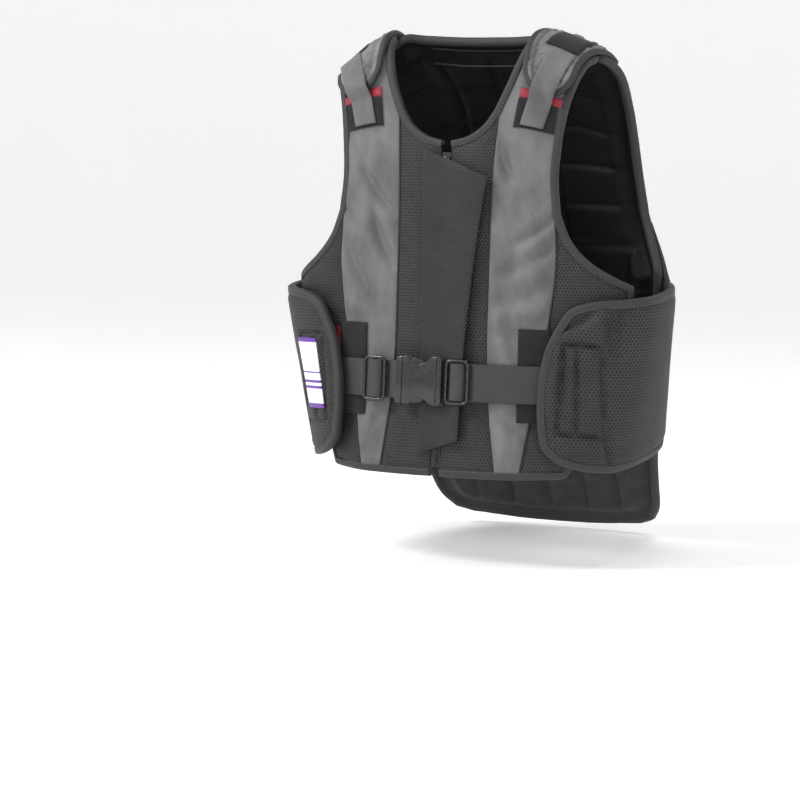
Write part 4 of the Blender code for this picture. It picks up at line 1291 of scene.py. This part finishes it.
def stage():
    """Round pale floor that curves up all round."""
    lowest = cad_box[0][2]
    floor_height = lowest - 0.006
    flat, rise, round_by, turns = 4.5, 4.0, 1.5, 96  # metres, and divisions round
    rows = [(flat * share, floor_height) for share in (0.0, 0.3, 0.6, 1.0)]
    rows += [(flat + round_by * math.sin(t), floor_height + round_by * (1 - math.cos(t)))
             for t in np.linspace(0, math.pi / 2, 24)[1:]]
    rows += [(flat + round_by, floor_height + round_by + rise)]
    points = [(out * math.cos(math.tau * k / turns), out * math.sin(math.tau * k / turns), high)
              for out, high in rows for k in range(turns)]
    faces = []
    for start in range(0, (len(rows) - 1) * turns, turns):
        for k in range(turns):
            following = start + (k + 1) % turns
            faces.append((start + k, start + turns + k, turns + following, following))
    mesh = bpy.data.meshes.new("floor")
    mesh.from_pydata(points, [], faces)
    for face in mesh.polygons:
        face.use_smooth = True
    made, tree, main = shader("floor", (0.86, 0.86, 0.86), 0.9)
    place = tree.nodes.new("ShaderNodeTexCoord").outputs["Object"]
    tones(tree, main, grain(tree, place, 0.6), ((0.0, (0.86,) * 3), (1.0, (0.9,) * 3)))
    main.inputs["Emission Color"].default_value = (1, 1, 1, 1)
    main.inputs["Emission Strength"].default_value = 0.3
    mesh.materials.append(made)
    add("floor", mesh)


def aimed(thing, place, target):
    """Object put at a place and turned towards a target."""
    thing.location = place
    thing.rotation_euler = (Vector(target) - Vector(place)).to_track_quat("-Z", "Y").to_euler()
    return thing


def lights():
    """Large soft lights and a faint even surround."""
    world = bpy.data.worlds.new("studio")
    world.use_nodes = True
    back = world.node_tree.nodes["Background"]
    back.inputs["Color"].default_value = (1, 1, 1, 1)
    back.inputs["Strength"].default_value = 0.1
    bpy.context.scene.world = world
    rows = (
        ("key", (-1.8, -1.5, 1.8), 0.8, 66),
        ("fill", (2.3, -2.2, 0.5), 1.4, 15),
        ("top", (0.6, -0.3, 2.2), 1.0, 26),
    )
    for name, place, size, power in rows:
        lamp = bpy.data.lights.new(name, "AREA")
        lamp.shape = "SQUARE"
        lamp.size, lamp.energy = size, power
        aimed(add(name, lamp), place, (0, 0, -0.25))


def camera():
    """Camera at the photograph's angle."""
    lens = bpy.data.cameras.new("camera")
    lens.sensor_width, lens.lens = 36.0, LENS
    lens.clip_start, lens.clip_end = 0.1, 50.0
    bpy.context.scene.camera = aimed(add("camera", lens), EYE, AIM)


def all_looks():
    """Every material of the vest by its plain name."""
    return {
        "cloth": woven("grey_cloth", GREY),
        "strap": woven("strap_cloth", shade(GREY, 0.95), 0.0011),
        # Strong contrast deepens the slubs and the painted fold shade and light on the quilted pads
        "crinkle": woven("crinkled_cloth", shade(GREY, 1.0), contrast=0.9, crinkle=1.6),
        # The second colour of each mesh is the painted shade seen inside its holes
        "mesh": honeycomb("spacer_mesh", MESH, (0.001, 0.001, 0.001)),
        "mesh_fine": honeycomb("flap_mesh", shade(MESH, 0.8), (0.0015, 0.0015, 0.0015), 0.0026),
        "tape": ribbed("edge_tape", TAPE, 0.0012),
        "webbing": ribbed("webbing", WEB, 0.0013, 0.55, False, 0.0004),
        "piping": ribbed("piping", shade(TAPE, 0.35), 0.0012),
        "lining": slick("lining", LINING),
        "loop": pile("fastening_pile", LOOP),
        "red": ribbed("red_mark", RED, 0.0014, 0.6, False),
        "dark_red": ribbed("dark_red_mark", shade(RED, 0.6), 0.0014, 0.6, False),
        "thread": woven("thread", shade(GREY, 0.8), 0.0005),
        "plastic": plastic("moulded_plastic", PLASTIC),
        "label": label("label", WHITE, (0.12, 0.03, 0.3)),
    }


LOOKS = all_looks()
panels(LOOKS)
wings(LOOKS)
shoulders(LOOKS)
front_trim(LOOKS)
waist(LOOKS)
stage()
lights()
camera()
bpy.context.scene.view_settings.view_transform = "Standard"
